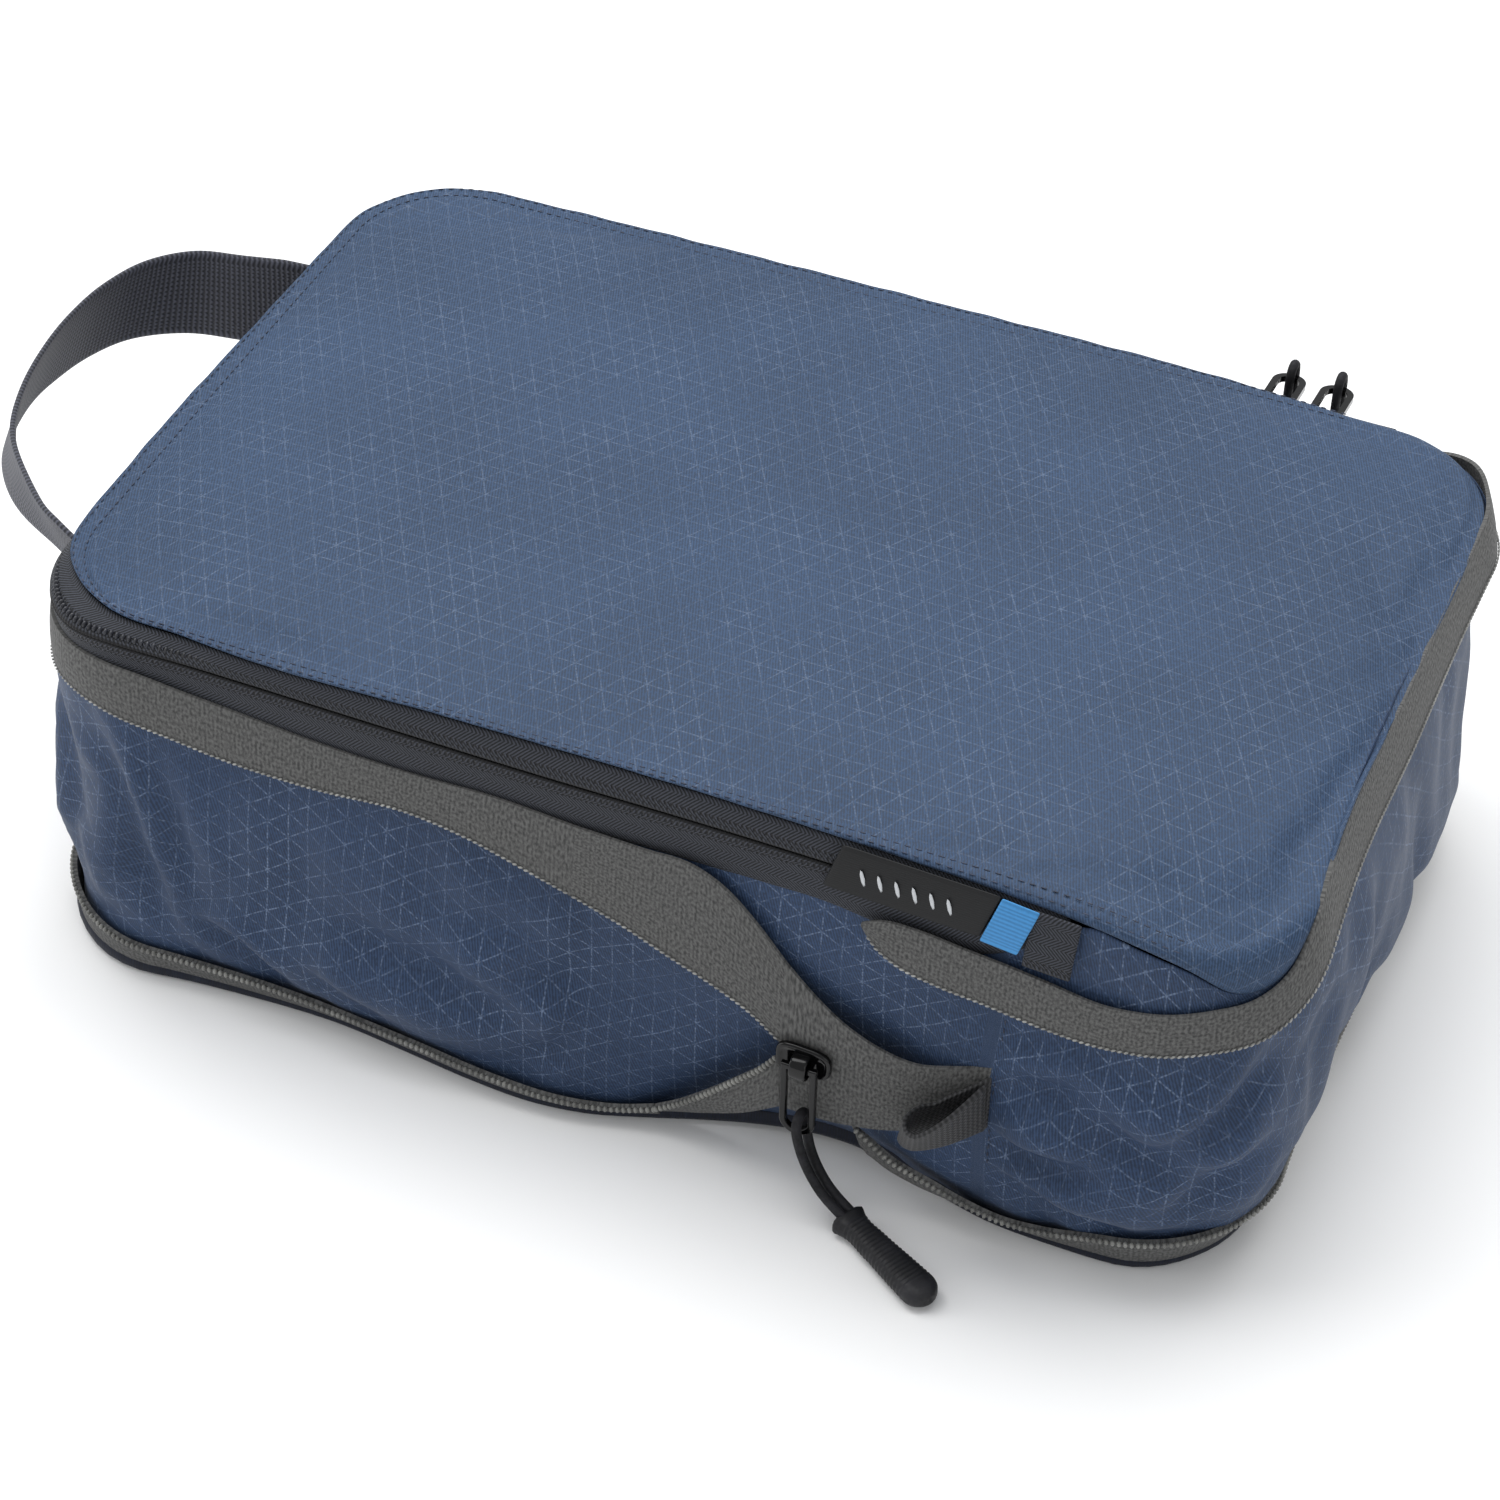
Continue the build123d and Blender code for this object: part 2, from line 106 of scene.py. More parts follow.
def back(x):
    """The place of a point on the back."""
    return BACK + STRAIGHT_X - x


def left(y):
    """The place of a point on the left side."""
    return LEFT + STRAIGHT_Y - y


def near(corner):
    """Places given as distances past the middle of a corner."""
    return lambda distance: corner + distance


def trace(*entries):
    """A rail's rows; each kind of place is named before the rows that use it."""
    rows, place = [], None
    for entry in entries:
        if callable(entry):
            place = entry
        else:
            rows.append((place(entry[0]), *entry[1:]))
    return rows


def outline(places):
    """Points on the bag's outline and their outward directions."""
    at = np.mod(np.asarray(places, float), ROUND)
    points, outward = np.zeros((len(at), 2)), np.zeros((len(at), 2))
    for (kind, length, origin, way), start in zip(RUNS, STARTS):
        here = (at >= start) & (at <= start + length)
        run = (at[here] - start)[:, None]
        if kind == "line":
            points[here] = np.array(origin) + run * np.array(way)
            outward[here] = (way[1], -way[0])
        else:
            angle = way + run[:, 0] / CORNER
            outward[here] = np.stack([np.cos(angle), np.sin(angle)], axis=1)
            points[here] = np.array(origin) + CORNER * outward[here]
    return points, outward


def smooth(at, table, closed=False):
    """The values of a table at the given places, on a smooth curve through its rows."""
    rows = np.array(table, float)
    at = np.asarray(at, float)
    if closed:
        shift = np.zeros(rows.shape[1])
        shift[0] = ROUND
        at = np.mod(at - rows[0, 0], ROUND) + rows[0, 0]
        rows = np.vstack([rows[-2:] - shift, rows, rows[:2] + shift])
    x, values = rows[:, 0], rows[:, 1:]
    slope = np.gradient(values, x, axis=0)
    i = np.clip(np.searchsorted(x, at) - 1, 0, len(x) - 2)
    step = (x[i + 1] - x[i])[:, None]
    t = np.clip((at - x[i])[:, None] / step, 0, 1)
    return (
        (2 * t**3 - 3 * t**2 + 1) * values[i]
        + (t**3 - 2 * t**2 + t) * step * slope[i]
        + (3 * t**2 - 2 * t**3) * values[i + 1]
        + (t**3 - t**2) * step * slope[i + 1]
    )


def on_wall(places, offset, height):
    """Points in space at offsets from the outline and heights above the floor."""
    points, outward = outline(places)
    flat = points + outward * np.reshape(offset, (-1, 1))
    return np.column_stack([flat, np.broadcast_to(height, len(flat))])


def rail(places, table, closed=False, out=0.0, up=0.0):
    """A rail's points in space, moved a little outwards or up."""
    values = smooth(places, table, closed)
    return on_wall(places, values[:, 0] + out, values[:, 1] + up)


def steps(start, end, about):
    """Places from start to end, evenly spaced, about that far apart."""
    return np.linspace(start, end, max(2, round(abs(end - start) / about) + 1))


# ---------------------------------------------------------------- rails
# the lid cloth's sewn edge; near the front right corner it runs down to the grey tape
LID_EDGE = trace(
    front, (84, -0.8, 95.4), (97, -0.5, 94.3), (108, -0.5, 92.6),
    near(FR), (-13, -0.3, 88.8), (-3, 0.6, 82.5), (8, 0.8, 83.5), (18, -0.2, 92.5),
    right, (-55, -1.2, 96.6), (0, -1.5, 97.2), (50, -1.2, 97),
    near(BR), (-12, -2.4, 96.6), (2, -3, 96), (16, -1.6, 95.2),
    back, (104, -0.8, 95.4), (80, 0.2, 96.6), (0, 0.6, 97.6), (-90, 0.4, 97.4),
    near(BL), (0, 0.2, 97),
    left, (40, 0.8, 97), (-40, 1.4, 97.2),
    near(FL), (-14, 0.2, 97), (0, -2.2, 97), (12, -3, 97.2),
    front_left, (-105, -3, 97.2), (-88, -1.8, 97), (-40, -2.2, 97.2), (20, -2.3, 97), (55, -1.6, 96.4),
)
# the slit of the lid's zipper
SLIT = trace(
    front, (84, 0, 88.9), (96, 0.1, 88.2),
    near(FR), (0, 0.5, 88),
    right, (0, 0, 88.9),
    near(BR), (0, 0, 88.9),
    back, (100, -0.7, 88.9), (0, -0.7, 88.9), (-100, -0.6, 88.9),
    near(BL), (0, 0.4, 89.5),
    left, (30, 0.4, 90), (-40, 0.9, 91), (-58, 2.2, 91.8),
    near(FL), (-8, 4.2, 92.4), (8, 4.2, 93),
    front_left, (-118, 2.6, 93.6), (-106, 1.2, 92.8), (-90, 0.5, 92), (-60, 0.1, 91), (-20, 0, 90.3),
        (20, 0, 90.4), (55, 0, 89.8),
)
# the upper compression tape's sewn top edge and its free lower edge
UPPER_TOP = trace(
    front, (53.5, 2, 79.2), (57, 2, 80.6), (65, 1.9, 80.9), (75, 1.8, 79.6), (85, 1.9, 78.6),
        (92, 2, 77.7), (106, 2, 75.9),
    near(FR), (-19, 2, 77.3), (-8, 2, 79.6), (1, 2, 80.9), (9, 1.4, 84.2), (17, 0.2, 91.6),
    right, (-60, -0.6, 95.6), (-50, -1.3, 97), (0, -1.4, 97.4), (50, -1.4, 97.2),
    near(BR), (-12, -1, 97.2), (2, 0.4, 96.8), (14, 0.4, 92.4),
    back, (112, 0.8, 87), (100, 1, 82.4), (80, 1, 80.6), (0, 1, 80.6), (-100, 1, 80.6),
    near(BL), (0, 1.4, 81.5),
    left, (40, 1.2, 80.8), (-20, 1.2, 81.4), (-58, 3.2, 85),
    near(FL), (0, 4.5, 87.6),
    front_left, (-113, 3.2, 88), (-101, 2.4, 86), (-87, 1.6, 84), (-72, 1.2, 82.2), (-47, 1, 81.2),
        (-30, 1, 81.6), (-10, 1.2, 80.4),
)
UPPER_LOW = trace(
    front, (53.5, 2.4, 78.2), (56, 2.6, 74.4), (60.5, 2.6, 70.8), (70, 2.7, 68.2), (80, 2.8, 67.2),
        (93, 3.2, 65.9), (105, 3.4, 65.6),
    near(FR), (-20, 3.4, 66.9), (-8, 3.4, 69.2), (2, 3.4, 70.2), (12, 3.2, 74),
    right, (-60, 2.6, 79.8), (-48, 2, 83), (0, 1.8, 83.6), (46, 1.6, 83.6),
    near(BR), (-12, 2.4, 84.4), (4, 3, 82.5), (16, 3, 77),
    back, (110, 3, 73), (98, 2.6, 69.5), (75, 2.5, 67.6), (0, 2.4, 68.2), (-100, 2.5, 67.6),
    near(BL), (0, 3, 68.6),
    left, (40, 2.6, 67.8), (-30, 3.2, 69.5),
    near(FL), (-8, 5.2, 73.4), (10, 4.6, 75.6),
    front_left, (-105, 3.4, 72.8), (-91, 3.2, 70.9), (-70, 3.2, 70.5), (-47, 3.3, 72),
        (-32, 3.4, 69.6), (-22, 3.5, 66.6), (-10, 3.6, 62.9),
)
# where that tape leaves the rim and drops to the slider
DROP_TOP = trace(
    front_left, (-10, 1.2, 80.4), (5, 1.6, 80.2), (17, 2, 80), (24, 2.6, 77), (32, 3.4, 70),
        (38.2, 4, 63),
)
DROP_LOW = trace(
    front_left, (-10, 3.6, 62.9), (1.5, 3.9, 59.2), (13, 4.2, 54.4), (25, 4.8, 49.8), (32, 5.2, 46.2),
        (38.2, 5.6, 41.4),
)
# the bottom edge of the bag, pulled in where the compression zipper starts
BASE_EDGE = trace(
    front, (84, -1.2, 0.9), (100, -0.4, 0.8), (112, -0.6, 0.8),
    near(FR), (0, -4.2, 0.9),
    right, (-50, -6.2, 0.8), (0, -5.8, 0.8), (50, -4.6, 0.8),
    near(BR), (0, -3, 0.8),
    back, (100, -0.6, 0.8), (0, 0, 0.8), (-100, -0.6, 0.8),
    near(BL), (0, -1.5, 0.8),
    left, (40, 0, 0.8), (-40, 1, 0.8),
    near(FL), (-6, 5.6, 0.8), (12, 6, 0.8),
    front_left, (-108, 3.8, 0.8), (-92, 2.4, 0.8), (-68, 1.8, 0.8), (-50, 3.7, 0.8), (-34, 5.6, 0.8),
        (-18, 6.2, 0.8), (-6, 4.4, 0.8), (5, 0.8, 0.9), (17, -3.4, 1.2), (28, -6.6, 1.6),
        (40, -8.6, 2.2), (52, -8.8, 2.2), (68, -4.8, 1.4),
)
# the lower tape's sewn edge: it narrows to a rounded tip right of the slider
LOWER_LOW = trace(
    front, (54, 2.6, 20), (55.5, 2.8, 16.2), (60, 2.6, 11.6), (67, 1.6, 7.4), (76, -0.2, 3.6),
        (86, -0.6, 1.4),
) + [row for row in BASE_EDGE if row[0] > front(95)]

# the toothed top edge of the lower tape, and the stretch that climbs to the slider
LOWER_COIL = trace(
    front, (54, 2.6, 20.6), (58, 3.2, 18.4), (63, 3.8, 15.4), (72, 4, 12.2), (80, 4, 9.4),
        (88, 4, 7.8), (98, 3.8, 8.4), (110, 3.4, 11),
    near(FR), (-8, 2.8, 13.4), (10, 0.8, 13.6),
    right, (-50, -1, 12.4), (0, -0.8, 11.4), (50, -0.2, 11.6),
    near(BR), (0, 0.8, 12),
    back, (80, 3, 11), (0, 3.4, 10.4), (-80, 3, 10.8),
    near(BL), (0, 2.6, 12),
    left, (30, 3.2, 10.8), (-40, 4, 10.4),
    near(FL), (-4, 6.6, 10.8), (14, 7, 9.8),
    front_left, (-106, 6, 9.2), (-92, 5.2, 8.6), (-76, 5.5, 8.5), (-60, 6.6, 8.2), (-46, 8, 8.2),
        (-27, 9, 6.9), (-10, 8, 5.9), (2, 5.2, 6), (9, 3.6, 7.6),
)
RISE_COIL = trace(
    front_left, (9, 3.6, 7.6), (14, 3.9, 11.4), (20, 4.5, 17.2), (29.5, 5.2, 27.4), (34, 5.5, 32.4),
        (38.2, 5.6, 38.4),
)
RISE_LOW = trace(
    front_left, (9, -0.6, 2.4), (20, 0.6, 7.6), (30, 3, 14.4), (38.2, 4.4, 21.2),
)
# the two tapes joined, right of the slider
JOINED_TOP = trace(
    front_left, (38.2, 4, 63), (44, 4.4, 57.4), (50, 4.6, 52.4), (59, 4.6, 47.6), (68, 4.6, 46.2),
        (76, 4.2, 48.4), (84, 3.4, 51),
)
JOINED_MIDDLE = trace(
    front_left, (38.2, 5.6, 40), (50, 5.7, 39.8), (62, 5.4, 38), (74, 4.6, 38.6), (84, 3.6, 40.4),
)
JOINED_LOW = trace(
    front_left, (38.2, 4.4, 21.2), (50, 4.6, 21.6), (60, 4.6, 23.6), (72, 4.2, 27.6), (84, 3.4, 28.4),
)
# where the gusset goes behind the lower tape
GUSSET_TUCK = trace(
    front, (84, 1.4, 10), (104, 1.6, 10),
    near(FR), (0, 0.2, 13),
    right, (-50, -2.4, 12.4), (0, -2.2, 11.4), (50, -1.6, 11.6),
    near(BR), (0, -0.8, 12),
    back, (80, 0.6, 11), (0, 1.2, 10.4), (-80, 0.6, 11),
    near(BL), (0, 0.4, 12),
    left, (30, 0.8, 10.8), (-40, 1.6, 10.4),
    near(FL), (-4, 4, 10.8), (14, 4.4, 9.8),
    front_left, (-106, 3.6, 9.2), (-92, 2.8, 8.6), (-60, 4.2, 8.2), (-46, 5.4, 8.2), (-27, 6.2, 7),
        (-10, 5, 6.5), (2, 2.4, 6.5), (12, -1.6, 7), (28, -5.2, 8), (50, -6, 9), (68, -1.6, 9.6),
)
# the gusset: top, upper, middle and lower rails; its bottom is the base's edge
GUSSET_TOP = trace(
    front, (84, -0.9, 81.6), (92, -0.8, 88), (98, -0.7, 93), (108, -0.7, 91.8),
    near(FR), (-13, -0.6, 88), (-3, 0, 81.8), (8, 0.2, 83), (18, -0.8, 91.5),
    right, (-52, -2, 95.2), (50, -2, 95.2),
    near(BR), (0, -0.8, 94.6), (14, -1.6, 94.4),
    back, (107, -1.2, 94), (99, -1, 83), (94, -1, 81), (80, -1, 81), (-100, -1, 81),
    near(BL), (0, -0.6, 81.4),
    left, (40, -0.8, 81), (-50, -0.2, 83),
    near(FL), (0, 2.4, 86),
    front_left, (-106, 1, 85), (-85, 0.2, 82.4), (-50, -0.4, 81), (40, -0.8, 80.6),
)
GUSSET_UPPER = trace(
    front, (84, 0.6, 66),
    near(FR), (0, 1.6, 68), (14, 2.2, 70),
    right, (-40, 1.2, 76), (40, -2, 76),
    near(BR), (0, -2.6, 74),
    back, (90, 0.8, 66), (-90, 1.2, 66),
    near(BL), (0, 1.6, 66),
    left, (0, 1.8, 66),
    near(FL), (0, 4.2, 70),
    front_left, (-90, -0.2, 68), (-40, -0.4, 68), (0, -0.4, 62), (30, 0.8, 62), (60, 0.4, 64),
)
GUSSET_MIDDLE = trace(
    front, (84, 4.2, 42), (104, 5.4, 42),
    near(FR), (0, 4.4, 42), (14, 2.4, 43),
    right, (-40, 1.8, 44), (40, -1, 44),
    near(BR), (0, -1.4, 44),
    back, (90, 3, 42), (0, 5, 42), (-90, 4, 42),
    near(BL), (0, 3.6, 42),
    left, (0, 4.4, 42),
    near(FL), (0, 4.4, 42),
    front_left, (-98, 2, 42), (-60, 1.6, 42), (-20, 1.4, 40), (8, -1, 38), (30, -1.6, 40),
        (46, -2.2, 40), (60, -1.6, 40), (74, 1.8, 40),
)
GUSSET_LOWER = trace(
    front, (84, 3.8, 19), (104, 4.6, 20),
    near(FR), (0, 2.6, 22), (16, 0.4, 22),
    right, (0, 1.4, 21),
    near(BR), (0, 0.8, 20),
    back, (0, 3.2, 17),
    near(BL), (0, 2.4, 18),
    left, (0, 3.2, 17),
    near(FL), (0, 5.4, 22),
    front_left, (-90, 5.4, 20), (-60, 6.2, 18), (-30, 7, 17), (-8, 4.6, 16), (12, -1, 14),
        (30, -4, 14), (50, -3.6, 14), (66, 0.6, 15),
)


# ---------------------------------------------------------------- materials
class Value:
    """A node's output, with the sums that patterns are written in."""

    def __init__(self, tree, socket):
        self.tree, self.socket = tree, socket

    def __add__(self, other):
        return self.tree.math("ADD", self, other)

    def __mul__(self, other):
        return self.tree.math("MULTIPLY", self, other)

    def larger(self, other):
        return self.tree.math("MAXIMUM", self, other)

    def zigzag(self, half):
        """Up from 0 to half and down again, over and over."""
        return self.tree.math("PINGPONG", self, half)

    def fade(self, low, high, at_low=0.0, at_high=1.0):
        """at_low below low, at_high above high, and smooth between them."""
        inputs = {0: self, 1: low, 2: high, 3: at_low, 4: at_high}
        return self.tree.add("MapRange", inputs, interpolation_type="SMOOTHSTEP")


class Tree:
    """Short calls that add nodes to a material; an input is a number, a colour or a Value."""

    def __init__(self, name, **constants):
        self.material = bpy.data.materials.new(name)
        self.material.use_nodes = True
        self.tree = self.material.node_tree
        self.shader = self.tree.nodes["Principled BSDF"]
        for socket, value in constants.items():
            self.shader.inputs[socket.replace("_", " ")].default_value = value

    def add(self, kind, inputs, output=0, **settings):
        node = self.tree.nodes.new("ShaderNode" + kind)
        for key, value in settings.items():
            setattr(node, key, value)
        for socket, value in inputs.items():
            if isinstance(value, Value):
                self.tree.links.new(value.socket, node.inputs[socket])
            else:
                node.inputs[socket].default_value = value
        return Value(self, node.outputs[output])

    def math(self, operation, a, b=0.0):
        return self.add("Math", {0: a, 1: b}, operation=operation)

    def cloth(self):
        """Along and across the cloth in millimetres, and both as one point."""
        flat = self.add("Attribute", {}, output=1, attribute_name="cloth")
        split = self.add("SeparateXYZ", {0: flat}).socket.node
        return Value(self, split.outputs[0]), Value(self, split.outputs[1]), flat

    def object_point(self):
        return self.add("TexCoord", {}, output=3)

    def noise(self, vector, scale, detail=2.0):
        return self.add("TexNoise", {"Vector": vector, "Scale": scale, "Detail": detail})

    def blend(self, share, dark, light):
        """A colour between two, by share."""
        return self.add("Mix", {0: share, 6: dark, 7: light}, output=2, data_type="RGBA")

    def connect(self, socket, value):
        self.tree.links.new(value.socket, self.shader.inputs[socket])

    def bump(self, height, depth_mm, strength):
        inputs = {"Height": height, "Strength": strength, "Distance": depth_mm * MM}
        self.connect("Normal", self.add("Bump", inputs))


def linear(red, green, blue):
    """A colour given as 8-bit display values, in the linear values that shaders take."""
    values = [c / 255 for c in (red, green, blue)]
    return [c / 12.92 if c < 0.04 else ((c + 0.055) / 1.055) ** 2.4 for c in values] + [1.0]


def scaled(colour, by):
    """A lighter or darker colour."""
    return [min(1.0, c * by) for c in colour[:3]] + [1.0]


GRID_SIDE = 5.4
THREAD = 0.17
# near-black painted shade, for the stitch holes and the slit of the charcoal zipper tape
HOLE_SHADE = [0.003, 0.003, 0.004, 1.0]


def ripstop(name, body, thread, turn, strength):
    """Fine twill with a triangular grid of lighter threads, their lightness partly painted sheen; turn is one
    family's direction.
    """
    tree = Tree(name, Roughness=0.6, Specular_IOR_Level=0.25, Sheen_Weight=0.05, Sheen_Roughness=0.4)
    u, v, flat = tree.cloth()
    spacing = GRID_SIDE * math.sqrt(3) / 2
    grid = 0.0
    for angle in (turn, turn + 60, turn + 120):
        c, s = math.cos(math.radians(angle)), math.sin(math.radians(angle))
        across = u * -s + v * c
        along = u * c + v * s
        line = across.zigzag(spacing / 2).fade(THREAD * 0.3, THREAD * 1.4, 1.0, 0.0)
        dash = along.zigzag(0.4).fade(0.05, 0.3, 0.45, 1.0)
        grid = (line * dash).larger(grid)
    # painted sheen: the grid threads' lightness swells and fades over broad patches, as where light catches
    # them
    sheen_patches = tree.noise(flat, 0.05).fade(0.32, 0.66, 0.35, 1.0)
    flecks = tree.noise(flat, 0.9).fade(0.38, 0.62, 0.1, strength)
    grid = grid * sheen_patches * flecks
    twill = (u * 0.94 + v * 0.34).zigzag(0.3).fade(0.03, 0.27)
    weave = twill * 0.24 + tree.noise(flat, 1.35, 3.0) * 0.76
    shade = tree.noise(flat, 0.02, 1.0).fade(0.3, 0.7)
    tone = weave.fade(0.38, 0.62) + shade * 0.22
    colour = tree.blend(tone * 0.82, scaled(body, 0.62), scaled(body, 1.42))
    # the lighter thread colour over the grid is partly real thread and partly painted sheen
    tree.connect("Base Color", tree.blend(grid, colour, thread))
    tree.connect("Roughness", weave.fade(0.3, 0.7, 0.52, 0.72))
    tree.bump(weave + grid * 0.8, 0.12, 0.5)
    return tree.material


def knit_tape(name, dark, light, rib):
    """Knitted zipper tape: upright ribs over a rough grain."""
    tree = Tree(name, Roughness=0.85, Specular_IOR_Level=0.3, Sheen_Weight=0.05)
    u, v, flat = tree.cloth()
    ribs = (u + tree.noise(flat, 0.8, 1.0) * 0.5).zigzag(rib).fade(0.0, rib)
    rows = v.zigzag(0.55).fade(0.0, 0.55)
    grain = tree.noise(tree.add("CombineXYZ", {0: u, 1: v * 0.7}), 1.6, 3.0)
    knit = ribs * 0.09 + rows * 0.05 + grain * 0.9
    tree.connect("Base Color", tree.blend(knit.fade(0.3, 0.72), dark, light))
    tree.bump(knit, 0.25, 0.7)
    return tree.material


def herringbone_tape(name, dark, light):
    """Charcoal zipper tape: slanting ribs, and two rows of stitch holes beside the slit, with the holes and
    the slit edge painted near-black as shade.
    """
    tree = Tree(name, Roughness=0.75, Specular_IOR_Level=0.35, Sheen_Weight=0.05)
    u, v, flat = tree.cloth()
    ribs = (u + v.zigzag(2.4) * 1.1).zigzag(0.45).fade(0.08, 0.4)
    holes = 0.0
    for row, shift in ((1.0, 0.0), (2.1, 0.65)):
        near_row = tree.math("ABSOLUTE", v + -row).fade(0.15, 0.5, 1.0, 0.0)
        near_hole = (u + shift).zigzag(0.65).fade(0.1, 0.4, 1.0, 0.0)
        holes = (near_row * near_hole).larger(holes)
    # painted shade: the slit edge and the stitch holes are coloured near-black, as the shade in them
    slit = v.fade(0.1, 0.6, 1.0, 0.0)
    painted_shade = (holes * 0.9).larger(slit)
    knit = ribs * 0.5 + tree.noise(flat, 1.6) * 0.5
    colour = tree.blend(knit.fade(0.2, 0.8), dark, light)
    tree.connect("Base Color", tree.blend(painted_shade, colour, HOLE_SHADE))
    tree.bump(knit + painted_shade * -1.6, 0.25, 0.8)
    return tree.material


def webbing(name, dark, light, pitch, lengthwise):
    """Woven webbing: ridges across, crossed by fine lengthwise yarns."""
    tree = Tree(name, Roughness=0.65, Specular_IOR_Level=0.35, Sheen_Weight=0.08)
    u, v, flat = tree.cloth()
    yarn = v.zigzag(0.7).fade(0.0, 0.6)
    pick = (u + yarn * 0.3).zigzag(pitch).fade(0.0, pitch)
    weave = yarn * lengthwise + pick * 0.45 + tree.noise(flat, 1.5) * 0.3
    tree.connect("Base Color", tree.blend(weave.fade(0.25, 0.85), dark, light))
    tree.bump(weave, 0.35, 0.8)
    return tree.material


def satin(name, colour, pitch):
    """Smooth woven label or tab."""
    tree = Tree(name, Roughness=0.55, Specular_IOR_Level=0.3)
    _, v, flat = tree.cloth()
    weave = v.zigzag(pitch).fade(0.0, pitch) * 0.5 + tree.noise(flat, 1.4) * 0.5
    tree.connect("Base Color", tree.blend(weave.fade(0.2, 0.8), scaled(colour, 0.7), colour))
    tree.bump(weave, 0.08, 0.5)
    return tree.material


def grained(name, dark, light, scale, roughness, depth, **constants):
    """Plastic, metal, rubber or thread with a fine surface grain and a little wear."""
    tree = Tree(name, Roughness=roughness[0], **constants)
    place = tree.object_point()
    grain = tree.noise(place, scale, 3.0)
    wear = tree.noise(place, scale * 0.12)
    tree.connect("Base Color", tree.blend(wear.fade(0.35, 0.75), dark, light))
    tree.connect("Roughness", grain.fade(0.3, 0.7, *roughness))
    tree.bump(grain, depth, 0.4)
    return tree.material


# the lid and the side are one fabric: the side copy is painted a little darker as shade, and its grid threads
# painted stronger as sheen
LID_CLOTH = ripstop("lid_ripstop", linear(46, 64, 89), linear(110, 124, 146), 0.0, 0.504)
SHADED_SIDE_CLOTH = ripstop("side_ripstop", linear(43, 59, 85), linear(108, 124, 150), 90.0, 0.864)
BASE_CLOTH = ripstop("base_cloth", linear(22, 26, 38), linear(44, 50, 66), 0.0, 0.36)
GREY_TAPE = knit_tape("grey_tape", linear(56, 56, 56), linear(98, 98, 97), 0.5)
DARK_TAPE = herringbone_tape("dark_tape", linear(11, 13, 17), linear(58, 61, 70))
STRAP = webbing("webbing", linear(30, 31, 38), linear(84, 86, 98), 0.6, 0.22)
GROSGRAIN = webbing("grosgrain", linear(18, 18, 20), linear(62, 62, 64), 0.55, 0.06)
LABEL_BLACK = satin("label_black", linear(17, 18, 20), 0.3)
LABEL_BLUE = satin("label_blue", linear(66, 140, 200), 0.5)
LABEL_WHITE = satin("label_white", linear(225, 228, 232), 0.3)
GREY_COIL = grained("grey_coil", linear(98, 98, 95), linear(136, 136, 132), 900, (0.3, 0.5), 0.02)
DARK_COIL = grained("dark_coil", linear(26, 27, 32), linear(48, 50, 58), 900, (0.35, 0.55), 0.02)
THREAD_GREY = grained("thread_grey", linear(124, 124, 122), linear(160, 160, 157), 1500, (0.5, 0.7), 0.03)
THREAD_NAVY = grained("thread_navy", linear(30, 37, 54), linear(52, 61, 84), 1500, (0.5, 0.7), 0.03)
ENAMEL = grained(
    "black_enamel", linear(4, 4, 5), linear(10, 10, 11), 500, (0.1, 0.18), 0.002,
    Specular_IOR_Level=0.28, Coat_Weight=0.1, Coat_Roughness=0.04,
)
RUBBER = grained(
    "grip_rubber", linear(20, 20, 23), linear(32, 32, 36), 1400, (0.45, 0.65), 0.05, Specular_IOR_Level=0.35
)
CORD_BLACK = grained(
    "cord_black", linear(14, 14, 17), linear(40, 40, 45), 1300, (0.6, 0.85), 0.12, Specular_IOR_Level=0.3
)


# ---------------------------------------------------------------- meshes
def mesh_object(name, points, faces, material, cloth=None):
    """A mesh from points in millimetres; cloth holds each point's place on the flat cloth."""
    mesh = bpy.data.meshes.new(name)
    mesh.from_pydata((np.asarray(points) * MM).tolist(), [], faces)
    mesh.polygons.foreach_set("use_smooth", [True] * len(mesh.polygons))
    if cloth is not None:
        attribute = mesh.attributes.new("cloth", "FLOAT_VECTOR", "POINT")
        flat = np.column_stack([cloth, np.zeros(len(cloth))])
        attribute.data.foreach_set("vector", flat.astype(np.float32).ravel())
    mesh.materials.append(material)
    piece = bpy.data.objects.new(name, mesh)
    scene.collection.objects.link(piece)
    return piece


def belong(piece, body, slot, *nodes):
    """Give a piece its body and hide the CAD nodes that it stands for; slot is not used."""
    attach(piece, body)
    if nodes:
        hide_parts(*nodes)


def grid_faces(rows, columns, closed=False):
    """Quads over a grid of points stored row by row."""
    faces = []
    for start in range(0, (rows - 1) * columns, columns):
        for j in range(columns if closed else columns - 1):
            k = (j + 1) % columns
            faces.append((start + j, start + k, start + columns + k, start + columns + j))
    return faces


def capped_tube(rings):
    """Points and faces of a tube through rings of points, with both ends filled."""
    count = len(rings[0])
    faces = grid_faces(len(rings), count, closed=True)
    faces.append(tuple(range(count))[::-1])
    faces.append(tuple((len(rings) - 1) * count + j for j in range(count)))
    return np.vstack(rings), faces


def distances(points):
    """How far along a line of points each one is."""
    gaps = np.linalg.norm(np.diff(points, axis=0), axis=1)
    return np.concatenate([[0.0], np.cumsum(gaps)])


def smooth_line(path, step):
    """Points about that far apart on a smooth curve through a path, and how far along they are."""
    run = distances(np.array(path))
    at = steps(0, run[-1], step)
    return smooth(at, np.column_stack([run, path])), at


def thicken(piece, thickness, smoothing=1):
    """Give a sheet its thickness, inwards, and round it."""
    solid = piece.modifiers.new("thickness", "SOLIDIFY")
    solid.thickness = thickness * MM
    solid.offset = -1.0
    if smoothing:
        rounding = piece.modifiers.new("rounding", "SUBSURF")
        rounding.levels = rounding.render_levels = smoothing
    else:
        crisp = piece.modifiers.new("crisp edges", "EDGE_SPLIT")
        crisp.split_angle = math.radians(40)


